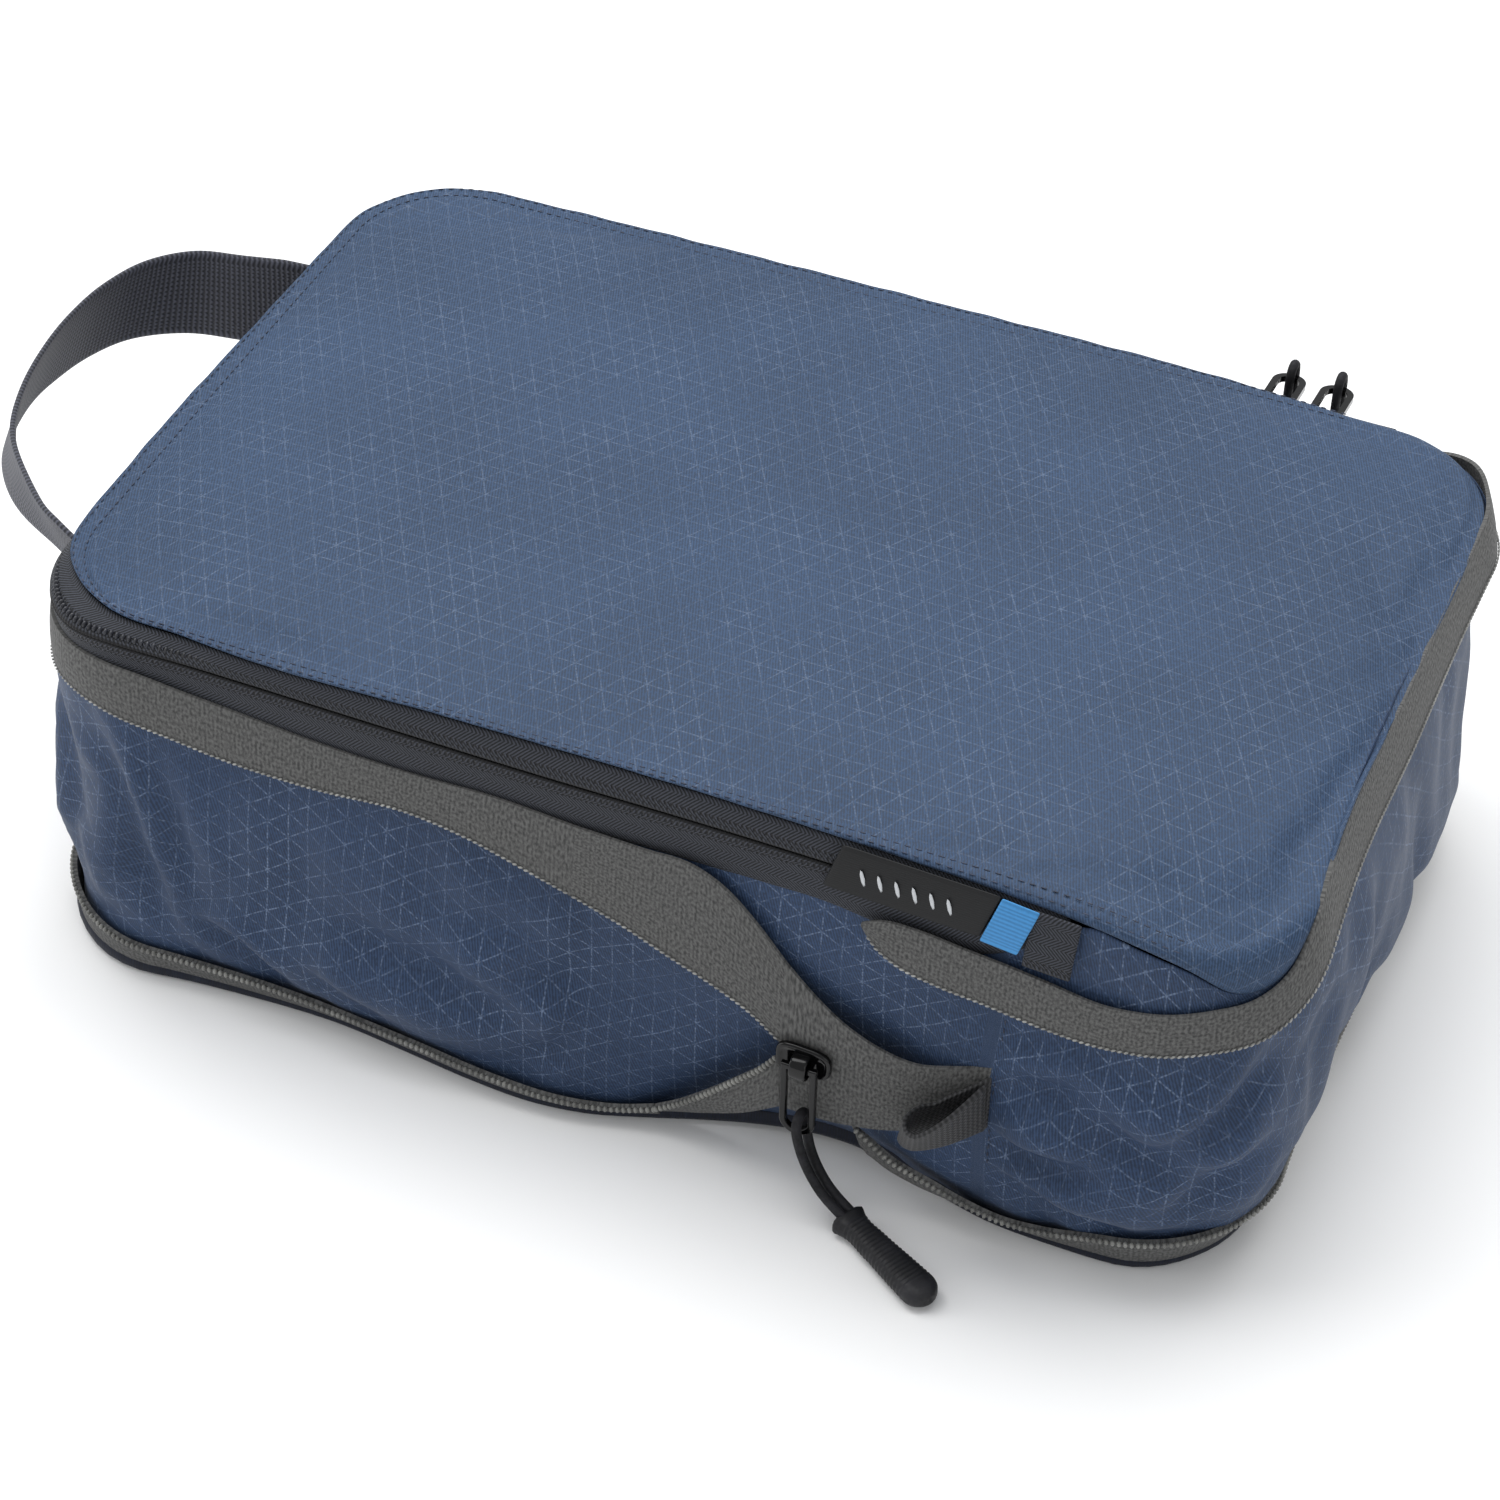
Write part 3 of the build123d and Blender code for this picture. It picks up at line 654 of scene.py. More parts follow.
def loft(name, rails, material, thickness, smoothing=1, along=None, from_top=False):
    """Cloth through rails of points, with a thickness; its pattern starts at the first rail."""
    rails = np.array(rails)
    rows, columns = rails.shape[:2]
    if along is None:
        along = distances(rails[rows // 2])
    across = distances(rails[:, columns // 2])
    if from_top:
        across = across[-1] - across
    cloth = np.column_stack([np.tile(along, rows), np.repeat(across, columns)])
    piece = mesh_object(name, rails.reshape(-1, 3), grid_faces(rows, columns), material, cloth)
    thicken(piece, thickness, smoothing)
    return piece


def between(low, high, shares, bulge=0.0, outward=0.0):
    """Rails from a low one to a high one, standing proud in the middle by bulge."""
    return [low * (1 - s) + high * s + outward * bulge * 4 * s * (1 - s) for s in shares]


def outward_3d(places):
    """Outward directions along the outline, as vectors in space."""
    _, outward = outline(places)
    return np.column_stack([outward, np.zeros(len(outward))])


def ball(rings=4, sides=7):
    """A unit ball's points and faces, for beads and stitches."""
    points = [(0, 0, -1)]
    for i in range(1, rings):
        polar = -math.pi / 2 + math.pi * i / rings
        for j in range(sides):
            turn = 2 * math.pi * j / sides
            across = math.cos(polar)
            points.append((across * math.cos(turn), across * math.sin(turn), math.sin(polar)))
    points.append((0, 0, 1))
    last = len(points) - 1
    faces = [(0, 1 + (j + 1) % sides, 1 + j) for j in range(sides)]
    for i in range(rings - 2):
        a, b = 1 + i * sides, 1 + (i + 1) * sides
        faces += [(a + j, a + (j + 1) % sides, b + (j + 1) % sides, b + j) for j in range(sides)]
    top = last - sides
    faces += [(top + j, top + (j + 1) % sides, last) for j in range(sides)]
    return np.array(points, float), faces


def at_pitch(line, outward, pitch):
    """Points spaced evenly along a line, their directions, and their outward directions."""
    run = distances(line)
    at = np.arange(pitch / 2, run[-1], pitch)

    def follow(values, where):
        return np.stack([np.interp(where, run, values[:, k]) for k in range(3)], axis=1)

    along = follow(line, at + 0.5) - follow(line, at - 0.5)
    along /= np.linalg.norm(along, axis=1, keepdims=True)
    out = follow(outward, at)
    out -= (out * along).sum(1, keepdims=True) * along
    out /= np.linalg.norm(out, axis=1, keepdims=True)
    return follow(line, at), along, out


def beads(name, line, outward, pitch, size, material, slant=0.0):
    """Rounded beads along a line; size is half the bead along, across and outwards."""
    points, along, out = at_pitch(line, np.broadcast_to(outward, line.shape), pitch)
    across = np.cross(out, along)
    axes = (
        along * math.cos(slant) + across * math.sin(slant),
        across * math.cos(slant) - along * math.sin(slant),
        out,
    )
    shape, faces = ball()
    spread = points[:, None]
    for k, axis in enumerate(axes):
        spread = spread + shape[None, :, k:k + 1] * size[k] * axis[:, None]
    starts = range(0, len(points) * len(shape), len(shape))
    all_faces = [tuple(start + k for k in face) for start in starts for face in faces]
    return mesh_object(name, spread.reshape(-1, 3), all_faces, material)


def simulate(piece, pinned, slack, pressure, frames, most):
    """Run a sheet as cloth cut a little too long, held at its pinned points.

    most is how far each point may end from where it began, in millimetres.
    """
    start = np.array([v.co for v in piece.data.vertices], float)
    group = piece.vertex_groups.new(name="held")
    group.add([int(i) for i in pinned], 1.0, "REPLACE")
    modifier = piece.modifiers.new("cloth", "CLOTH")
    settings = modifier.settings
    settings.vertex_group_mass = "held"
    settings.quality = 5
    settings.mass = 0.01
    settings.tension_stiffness = settings.compression_stiffness = 15
    settings.shear_stiffness = 5
    settings.bending_stiffness = 0.02
    settings.shrink_min = -slack
    settings.use_pressure = True
    settings.uniform_pressure_force = pressure
    settings.effector_weights.gravity = 0
    for number in range(1, frames + 1):
        scene.frame_set(number)
    moved = piece.evaluated_get(bpy.context.evaluated_depsgraph_get()).to_mesh()
    move = np.array([v.co for v in moved.vertices], float) - start
    piece.modifiers.remove(modifier)
    piece.vertex_groups.remove(group)
    scene.frame_set(1)
    length = np.linalg.norm(move, axis=1, keepdims=True)
    limit = np.reshape(most, (-1, 1)) * MM
    end = start + move * (limit * np.tanh(length / limit) / np.maximum(length, 1e-9))
    piece.data.vertices.foreach_set("co", end.ravel())
    piece.data.update()


# ---------------------------------------------------------------- camera, floor and lights
CAMERA_AT = Vector((245.4, -638.2, 637.3)) * MM
CAMERA_TARGET = Vector((-20.05, 29.77, 0.0)) * MM
CAMERA_ROLL = math.radians(1.54)
camera = bpy.data.objects.new("camera", bpy.data.cameras.new("camera"))
camera.data.sensor_width = 36
camera.data.lens = 96
camera.data.clip_end = 10
camera.location = CAMERA_AT
facing = (CAMERA_TARGET - CAMERA_AT).to_track_quat("-Z", "Y").to_matrix().to_4x4()
camera.rotation_euler = (facing @ Matrix.Rotation(CAMERA_ROLL, 4, "Z")).to_euler()
scene.collection.objects.link(camera)
scene.camera = camera

floor_tree = Tree("floor", Roughness=0.9)
mottle = floor_tree.noise(floor_tree.object_point(), 3.0)
floor_tree.connect("Base Color", floor_tree.blend(mottle, [0.88, 0.88, 0.88, 1], [0.91, 0.91, 0.91, 1]))
FLOOR_HALF = 3000.0
FLOOR_Z = -0.3
floor_points = [(x * FLOOR_HALF, y * FLOOR_HALF, FLOOR_Z) for x, y in ((-1, -1), (1, -1), (1, 1), (-1, 1))]
floor = mesh_object("floor", floor_points, [(0, 1, 2, 3)], floor_tree.material)

world = bpy.data.worlds.new("studio")
world.use_nodes = True
background = world.node_tree.nodes["Background"]
background.inputs["Color"].default_value = (0.97, 0.985, 1.0, 1.0)
background.inputs["Strength"].default_value = 0.6
scene.world = world
scene.view_settings.view_transform = "Standard"
LIGHT_TARGET = Vector((0, 0, 40))


def softbox(name, place, width, height, power):
    """A rectangular area light aimed at the bag."""
    light = bpy.data.lights.new(name, "AREA")
    light.shape = "RECTANGLE"
    light.size, light.size_y = width * MM, height * MM
    light.energy = power
    lamp = bpy.data.objects.new(name, light)
    lamp.location = Vector(place) * MM
    lamp.rotation_euler = (LIGHT_TARGET - Vector(place)).to_track_quat("-Z", "Y").to_euler()
    scene.collection.objects.link(lamp)


softbox("key", (-250, 380, 1350), 1900, 1300, 27.0)
softbox("fill", (900, -1100, 700), 700, 900, 2.0)
softbox("left", (-1200, -500, 500), 500, 900, 3.4)


# ---------------------------------------------------------------- cords
def cord_curve(name, route, diameter, material):
    """A round cord on one smooth line whose control points are the route's."""
    curve = bpy.data.curves.new(name, "CURVE")
    curve.dimensions = "3D"
    curve.bevel_depth = diameter / 2 * MM
    curve.bevel_resolution = 4
    curve.resolution_u = 8
    curve.use_fill_caps = True
    spline = curve.splines.new("NURBS")
    spline.points.add(len(route) - 1)
    for point, place in zip(spline.points, route):
        point.co = (*(Vector(place) * MM), 1.0)
    spline.order_u = 3
    spline.use_endpoint_u = True
    curve.materials.append(material)
    piece = bpy.data.objects.new(name, curve)
    scene.collection.objects.link(piece)
    return piece


CORD = 2.2
COMPRESSION_CORD = [
    (57.0, -103.6, 4.1), (52.9, -103.4, 7.4), (49.5, -103.0, 11.8), (46.9, -102.5, 16.6),
    (45.2, -102.0, 21.6), (44.7, -101.7, 25.4), (44.9, -99.5, 26.9), (45.1, -97.3, 25.4),
    (45.6, -97.9, 21.4), (47.2, -99.2, 16.6), (49.9, -100.2, 11.9), (53.5, -101.0, 7.5),
    (57.8, -101.4, 4.1),
]
HANGING_ROUTE = [
    (1.2, -19.5), (1.3, -15.4), (1.8, -10.8), (2.5, -6.0), (2.6, -1.8), (2.2, 2.0), (0.0, 3.5),
    (-2.2, 2.0), (-2.6, -1.8), (-2.5, -6.0), (-1.8, -10.8), (-1.3, -15.4), (-1.2, -19.5),
]
GRIP_THICKNESS = 4.8
GRIP_FLAT, GRIP_END = 24.4, 4.1
GRIP_HALF_WIDTHS = [(0, 3.1), (0.3, 3.7), (1.8, 3.75), (2.6, 3.45), (10, 3.35), (18, 3.8), (24, 4.1)]
GRIP_HALF_HEIGHTS = [(0, 2.0), (0.4, 2.4), (2, 2.35), (10, 2.2), (24, 2.4)]
GRIP_SQUARENESS = 3.2
GRIP_RIB, GRIP_RIB_PITCH = 0.07, 1.1
GRIP_SIDES = 20


def grip(name, mouth, along, up, material):
    """A flat rubber grip: square lip, narrow waist, round swelling end and fine ribs."""
    along, up = Vector(along).normalized(), Vector(up).normalized()
    side = up.cross(along)
    end_angles = np.linspace(0.12, math.pi / 2, 12)
    lengths = np.concatenate([np.linspace(0, GRIP_FLAT, 123), GRIP_FLAT + GRIP_END * np.sin(end_angles)])
    widths = smooth(lengths, GRIP_HALF_WIDTHS)[:, 0]
    heights = smooth(lengths, GRIP_HALF_HEIGHTS)[:, 0]
    rings = []
    for x, width, height in zip(lengths, widths, heights):
        end = max(0.0, (x - GRIP_FLAT) / GRIP_END)
        shrink = math.sqrt(max(0.0, 1 - end**2))
        flatten = 0.35 + 0.65 * shrink if end < 1 else 0.0
        rib = GRIP_RIB * math.sin(x * 2 * math.pi / GRIP_RIB_PITCH) if 3.0 < x < 23.5 else 0.0
        ring = []
        for j in range(GRIP_SIDES):
            angle = 2 * math.pi * j / GRIP_SIDES
            c, s = math.cos(angle), math.sin(angle)
            reach = (abs(c) ** GRIP_SQUARENESS + abs(s) ** GRIP_SQUARENESS) ** (-1 / GRIP_SQUARENESS)
            w = (width * shrink + rib) * c * reach
            h = (height * flatten + rib) * s * reach
            ring.append(Vector(mouth) + along * float(x) + side * w + up * h)
        rings.append(ring)
    return mesh_object(name, *capped_tube(rings), material)


def pull(suffix, body, route, mouth, along, up, cord_node, grip_node):
    """A cord through a wire ring, with both ends in a rubber grip."""
    cord = cord_curve("pull_cord_" + suffix, route, CORD, CORD_BLACK)
    belong(cord, body, "black_cord", cord_node)
    handle = grip("pull_grip_" + suffix, mouth, along, up, RUBBER)
    belong(handle, body, "grip_rubber", grip_node)


grip_low, _ = box("compression_grip")
pull(
    "compression", "compression_pull", COMPRESSION_CORD,
    (57.0, -102.3, grip_low[2] + GRIP_THICKNESS / 2), (25.0, -14.5, 0.0), (0, 0, 1),
    "compression_cord", "compression_grip",
)
for side in "ab":
    low, high = box("main_cord_" + side)
    bow_y = (low[1] + high[1]) / 2
    bow = ((low[0] + high[0]) / 2, box("main_ring_" + side)[1][1] - 0.75, high[2] - 3.6)
    pull(
        side, "main_pull_" + side, [(bow[0], bow_y + y, bow[2] + z) for y, z in HANGING_ROUTE],
        (bow[0], bow_y, box("main_grip_" + side)[1][2]), (0, 0, -1), (0, 1, 0),
        "main_cord_" + side, "main_grip_" + side,
    )

# ---------------------------------------------------------------- lid cloth
DOME = 2.2
LID_STEP = 3.2
LID_INSET = 4.5
# the cloth sinks towards the front right corner, where it is sewn in lower
LID_SAG = 7.5
LID_SAG_AT = np.array((136.0, -86.0))
LID_SAG_REACH = 26.0
# the strip over which the cloth passes from the lid, which opens, to the rim
HEM_TUCK = (-0.9, -1.2)
HEM_PUCKER = 0.25


def lid_sag(points):
    """How far the lid sinks at each point, seen from above."""
    from_corner = np.linalg.norm(points - LID_SAG_AT, axis=1)
    return LID_SAG * np.exp(-((from_corner / LID_SAG_REACH) ** 2))


def hem(edge, top, turn):
    """Offsets and heights where the lid's cloth has turned down by an angle towards its edge."""
    offset = -LID_INSET + (edge[:, 0] + LID_INSET) * math.sin(turn)
    return offset, top - (top - edge[:, 1]) * (1 - math.cos(turn))


def square_fill(bottom, top, west, east, rows, columns):
    """Points inside four edge curves."""
    a = np.linspace(0, 1, columns)[None, :, None]
    b = np.linspace(0, 1, rows)[:, None, None]
    across = (1 - b) * bottom[None] + b * top[None]
    upward = (1 - a) * west[:, None] + a * east[:, None]
    corners = (1 - a) * (1 - b) * bottom[0] + a * (1 - b) * bottom[-1]
    corners = corners + (1 - a) * b * top[0] + a * b * top[-1]
    return across + upward - corners


def lid_cloth():
    """The domed top cloth and its hem, which turns down to the sewn edge and under it."""
    columns = round((FR + ROUND - FL) / LID_STEP) + 1
    rows = round((BR - FR) / LID_STEP) + 1
    spans = ((FL, FR + ROUND, columns), (FR, BR, rows), (BR, BL, columns), (BL, FL, rows))
    sides = [np.linspace(*span) for span in spans]
    south, east, north, west = [on_wall(s, -LID_INSET, LID_TOP) for s in sides]
    points = square_fill(south, north[::-1], west[::-1], east, rows, columns).reshape(-1, 3)
    dome = (1 - (points[:, 0] / HALF_LENGTH) ** 4) * (1 - (points[:, 1] / HALF_DEPTH) ** 4)
    points[:, 2] += DOME * dome
    points[:, 2] -= lid_sag(points[:, :2])
    index = np.arange(rows * columns).reshape(rows, columns)
    rim = np.concatenate([index[0, :-1], index[:-1, -1], index[-1, :0:-1], index[:0:-1, 0]])
    places = np.concatenate([s[:-1] for s in sides])
    edge = smooth(places, LID_EDGE, closed=True)
    _, outward = outline(places)
    count, top = len(rim), points[rim, 2]
    rings, cloth, faces = [points], [points[:, :2]], grid_faces(rows, columns)
    previous, before, flat = rim, points[rim], points[rim, :2]
    for share in (0.25, 0.5, 0.75, 1.0, None):
        if share is None:
            offset, height = edge[:, 0] + HEM_TUCK[0], edge[:, 1] + HEM_TUCK[1]
        else:
            offset, height = hem(edge, top, share * math.pi / 2)
            height = height + HEM_PUCKER * np.sin(places * 0.43) * np.sin(places * 0.117) * share
        ring = on_wall(places, offset, height)
        flat = flat + outward * np.linalg.norm(ring - before, axis=1)[:, None]
        now = sum(len(r) for r in rings) + np.arange(count)
        for j in range(count):
            k = (j + 1) % count
            faces.append((int(previous[j]), int(now[j]), int(now[k]), int(previous[k])))
        rings.append(ring)
        cloth.append(flat)
        previous, before = now, ring
    piece = mesh_object("lid_cloth", np.vstack(rings), faces, LID_CLOTH, np.vstack(cloth))
    held = np.concatenate([rim, np.arange(len(points), sum(len(r) for r in rings))])
    simulate(piece, held, slack=0.012, pressure=1.5, frames=20, most=3.0)
    thicken(piece, 0.5)
    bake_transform(piece)
    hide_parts("top_panel", "hinge_end_top")


def lid_stitches():
    """Two rows of topstitching round the lid's hem, out to where it meets the grey tape."""
    places = steps(back(100), ROUND + front(120), 1.6)
    edge = smooth(places, LID_EDGE, closed=True)
    inside, _ = outline(places)
    top = LID_TOP - lid_sag(inside * 0.97)
    for row, share in ((1, 0.78), (2, 0.2)):
        offset, height = hem(edge, top, math.asin(share))
        line = on_wall(places, offset, height + 0.4)
        thread = beads(f"lid_stitches_{row}", line, (0, 0, 1), 2.4, (0.75, 0.16, 0.14), THREAD_NAVY)
        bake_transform(thread)


lid_cloth()
lid_stitches()

# ---------------------------------------------------------------- lid zipper
zip_places = steps(back(108), front(96) + ROUND, 3.6)
zip_out = outward_3d(zip_places)
SLIT_GAP = 0.18
slit_low = rail(zip_places, SLIT, True, 0.0, -SLIT_GAP)
slit_high = rail(zip_places, SLIT, True, 0.0, SLIT_GAP)
lid_seam = rail(zip_places, LID_EDGE, True, -0.7, -0.9)
tape_foot = rail(zip_places, GUSSET_TOP, True, 0.3, -1.6)

lid_rails = between(slit_high, lid_seam, (0, 0.12, 0.45, 0.8, 1), 0.35, zip_out)
lid_tape = loft("lid_zip_tape", lid_rails, DARK_TAPE, 0.8)
belong(lid_tape, "lid", "dark_tape", "lid_tape", "lid_coil")

body_rails = between(slit_low, tape_foot, (1, 0.8, 0.5, 0.12, 0), 0.35, zip_out)
body_tape = loft("body_zip_tape", body_rails, DARK_TAPE, 0.8, from_top=True)
belong(body_tape, "rim", "dark_tape", "body_tape", "body_coil")

for name, line, body, up in (
    ("lid_zip_teeth", slit_high, "lid", 0.9),
    ("body_zip_teeth", slit_low, "rim", -0.9),
):
    inside = line - zip_out * 1.7 + (0, 0, up)
    belong(beads(name, inside, zip_out, 1.4, (0.45, 1.1, 0.8), DARK_COIL), body, "dark_coil")


# ---------------------------------------------------------------- compression tapes
TAPE_STEP = 1.8
TAPE_THICK = 0.9
TAPE_SHARES = (0, 0.12, 0.3, 0.5, 0.7, 0.88, 1)
# where the upper tape starts to drop, where the lower one starts to rise, and where they meet
DROP_AT, RISE_AT, SLIDER_AT = front_left(-10), front_left(9), front_left(38.2)


def tape(name, low_table, high_table, start, end, node, bulge=0.4):
    """A grey tape between two rails."""
    places = steps(start, end, TAPE_STEP)
    rails = between(rail(places, low_table), rail(places, high_table), TAPE_SHARES, bulge, outward_3d(places))
    piece = loft(name, rails, GREY_TAPE, TAPE_THICK, smoothing=0, along=places)
    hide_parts(node)
    return piece


upper = tape("upper_tape_cloth", UPPER_LOW, UPPER_TOP, front(53.5), DROP_AT, "upper_tape")
lower = tape("lower_tape_cloth", LOWER_LOW, LOWER_COIL, front(54), RISE_AT, "lower_tape", 0.2)
drop = tape("upper_tape_slope", DROP_LOW, DROP_TOP, DROP_AT, SLIDER_AT, "upper_tape_drop")
rise = tape("lower_tape_slope", RISE_LOW, RISE_COIL, RISE_AT, SLIDER_AT, "lower_tape_rise", 0.6)
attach(upper, "rim")
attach(lower, "base")
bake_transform(drop)
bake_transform(rise)

places = steps(SLIDER_AT, front_left(SEAM_X), TAPE_STEP)
low, middle, high = [rail(places, table) for table in (JOINED_LOW, JOINED_MIDDLE, JOINED_TOP)]
joined_rails = between(low, middle, (0, 0.1, 0.5, 0.86, 0.97), 0.5, outward_3d(places))
joined_rails += between(middle, high, (0.03, 0.14, 0.5, 0.9, 1), 0.5, outward_3d(places))
joined = loft("joined_tape", joined_rails, GREY_TAPE, TAPE_THICK, smoothing=0, along=places)
belong(joined, "zip_start", "grey_tape", "joined_band")


def tape_teeth(name, table, start, end, up, size, material, slant):
    """A woven-in coil, seen as stitches or beads along a tape's edge."""
    places = steps(start, end, 2.0)
    line = rail(places, table, out=0.25, up=up)
    teeth = beads(name, line, outward_3d(places), 1.35, size, material, slant)
    return teeth


# height above the edge, half sizes, material and slant: light stitches above, fuller beads below
DASHES = (0.5, (0.62, 0.28, 0.26), THREAD_GREY, 0.5)
BEADS = (-0.5, (0.52, 0.8, 0.6), GREY_COIL, 0.0)
upper_teeth = tape_teeth("upper_tape_teeth", UPPER_LOW, front(55), DROP_AT, *DASHES)
drop_teeth = tape_teeth("upper_slope_teeth", DROP_LOW, DROP_AT, front_left(37.5), *DASHES)
lower_teeth = tape_teeth("lower_tape_teeth", LOWER_COIL, front(54.5), RISE_AT, *BEADS)
rise_teeth = tape_teeth("lower_slope_teeth", RISE_COIL, RISE_AT, front_left(37.8), *BEADS)
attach(upper_teeth, "rim")
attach(lower_teeth, "base")
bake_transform(drop_teeth)
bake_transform(rise_teeth)
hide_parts("upper_coil")
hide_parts("lower_coil")

# ---------------------------------------------------------------- gusset
GUSSET_ROWS = 27
GUSSET_STEP = 3.2
GUSSET_CLOTH_HEIGHT = 84.0
# the six rails' shares of the way up the cloth
GUSSET_KNOTS = (0.0, 0.11, 0.24, 0.52, 0.8, 1.0)
DROP_END = trace(front_left, (20, 4.4, 52), (50, 4.6, 22), (80, 3.4, 26))
# creases: from (place, height) to (place, height), half-width and depth
CREASES = [
    (front(84), 31, front(110), 33, 3.0, 4.0),
    (front(92), 22, front(118), 12, 3.0, 3.8),
    (front(92), 50, FR - 4, 34, 4.4, 3.8),
    (front(87), 47, front(106), 53, 3.0, 2.6),
    (front(86), 60, front(106), 66, 3.4, 2.6),
    (front(86), 24, front(100), 10, 3.0, 2.6),
    (FR - 14, 42, FR + 6, 60, 3.2, 3.6),
    (FR - 12, 24, FR + 6, 40, 3.6, 2.6),
    (front_left(-119), 68, front_left(-112), 20, 2.8, 3.4),
    (front_left(-109), 70, front_left(-103), 34, 2.8, 2.8),
    (FL - 4, 64, FL + 3, 18, 3.2, 3.2),
    (FL - 14, 60, FL - 10, 24, 3.2, 2.4),
    (front_left(-98), 24, front_left(-80), 10, 2.8, 3.6),
    (front_left(-72), 20, front_left(-54), 10, 2.8, 3.4),
    (front_left(-64), 36, front_left(-20), 25, 4.4, 3.2),
    (front_left(-40), 50, front_left(-2), 44, 3.6, 2.2),
    (front_left(-26), 38, front_left(20), 36, 3.6, 3.4),
    (front_left(-20), 18, front_left(8), 22, 3.4, 3.0),
    (front_left(60), 60, front_left(82), 62, 3.2, 2.4),
    (right(-30), 70, right(-22), 26, 3.6, 1.5),
    (right(10), 66, right(22), 24, 3.6, 1.4),
    (left(40), 66, left(34), 20, 3.4, 2.2),
    (left(-8), 64, left(-2), 22, 3.4, 2.2),
]
PRESS = 1.2
RIPPLE = 0.5
# behind the sloping and joined tapes, the cloth is free from this height down
SLOPES_SPAN = 94.0
SLOPES_LOW = 14.0
SEAM_ROWS = range(8, GUSSET_ROWS - 5)


def past(places, start):
    """How far places are past a start, at most half way round either way."""
    return np.mod(places - start + ROUND / 2, ROUND) - ROUND / 2


def crease_depth(places, heights):
    """How far creases press the cloth in at each point."""
    total = np.zeros(len(places))
    for start, low, end, high, width, depth in CREASES:
        gap, rise = past(places, start), heights - low
        run, climb = end - start, high - low
        length = math.hypot(run, climb)
        share = (gap * run + rise * climb) / length**2
        away = np.abs(gap * climb - rise * run) / length
        ends = np.clip(np.minimum(share, 1 - share) * 3 + 0.35, 0, 1)
        total += depth * np.exp(-((away / width) ** 2)) * ends
        total -= 0.4 * depth * np.exp(-(((away - 2.4 * width) / (1.7 * width)) ** 2)) * ends
    return total


def free_height(places, heights):
    """How freely the gusset's cloth may swell: least behind the tapes."""
    gap = past(places, DROP_AT)
    tape_low = smooth(places, UPPER_LOW + DROP_END, closed=True)[:, 1]
    low = np.where((gap > 0) & (gap < SLOPES_SPAN), SLOPES_LOW, tape_low)
    below = np.clip((low - 2 - heights) / 16, 0, 1)
    above = np.clip((heights - 9) / 14, 0, 1)
    return 0.12 + 0.88 * below * above


def gusset():
    """The side cloth all round: six rails, ripples, creases, and a stitched seam at the front."""
    places = np.linspace(0, ROUND, round(ROUND / GUSSET_STEP), endpoint=False)
    tables = (BASE_EDGE, GUSSET_TUCK, GUSSET_LOWER, GUSSET_MIDDLE, GUSSET_UPPER, GUSSET_TOP)
    rails = [smooth(places, table, closed=True) for table in tables]
    rails[0] = rails[0] + (-0.9, 1.2)
    shares = np.linspace(0, 1, GUSSET_ROWS)
    knots = [(knot, *rail_values.ravel()) for knot, rail_values in zip(GUSSET_KNOTS, rails)]
    rows = smooth(shares, knots).reshape(GUSSET_ROWS, -1, 2)
    points = []
    for share, (offset, height) in zip(shares, rows.transpose(0, 2, 1)):
        free = free_height(places, height)
        ripple = RIPPLE * np.sin(places * 0.31) * np.sin(places * 0.083 + 4 * share)
        ripple += RIPPLE * np.sin(places * 0.17 + 8 * share + 1.7 * np.sin(places * 0.05))
        press = PRESS * crease_depth(places, height)
        points.append(on_wall(places, offset + (ripple - press) * free, height))
    points = np.vstack(points)
    columns = len(places)
    along = np.tile(places, GUSSET_ROWS)
    cloth = np.column_stack([along, np.repeat(shares * GUSSET_CLOTH_HEIGHT, columns)])
    faces = grid_faces(GUSSET_ROWS, columns, closed=True)
    piece = mesh_object("gusset_cloth", points, faces, SHADED_SIDE_CLOTH, cloth)
    held = [*range(columns), *range((GUSSET_ROWS - 1) * columns, GUSSET_ROWS * columns)]
    most = 4.0 * free_height(along, points[:, 2])
    simulate(piece, held, slack=0.03, pressure=1.0, frames=20, most=most)
    thicken(piece, 0.5)
    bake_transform(piece)
    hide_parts("gusset_lower", "gusset_upper", "hinge_end_panel")
    seam = np.array([piece.data.vertices[i * columns].co for i in SEAM_ROWS]) / MM
    seam += (0.8, -0.1, 0)
    thread = beads("gusset_stitches", seam, (0, -1, 0), 2.2, (0.7, 0.18, 0.15), THREAD_NAVY)
    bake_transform(thread)


gusset()

# ---------------------------------------------------------------- base
BASE_COLUMNS = 240
# how far out and how high the base's rounded rim is, from underneath to its upper edge
BASE_PROFILE = (
    (-14, 0.3), (-8, 0.3), (-3, 0.3), (-0.8, 0.35), (0.1, 0.9), (0.35, 1.8), (0.2, 2.9), (-0.5, 3.7),
)


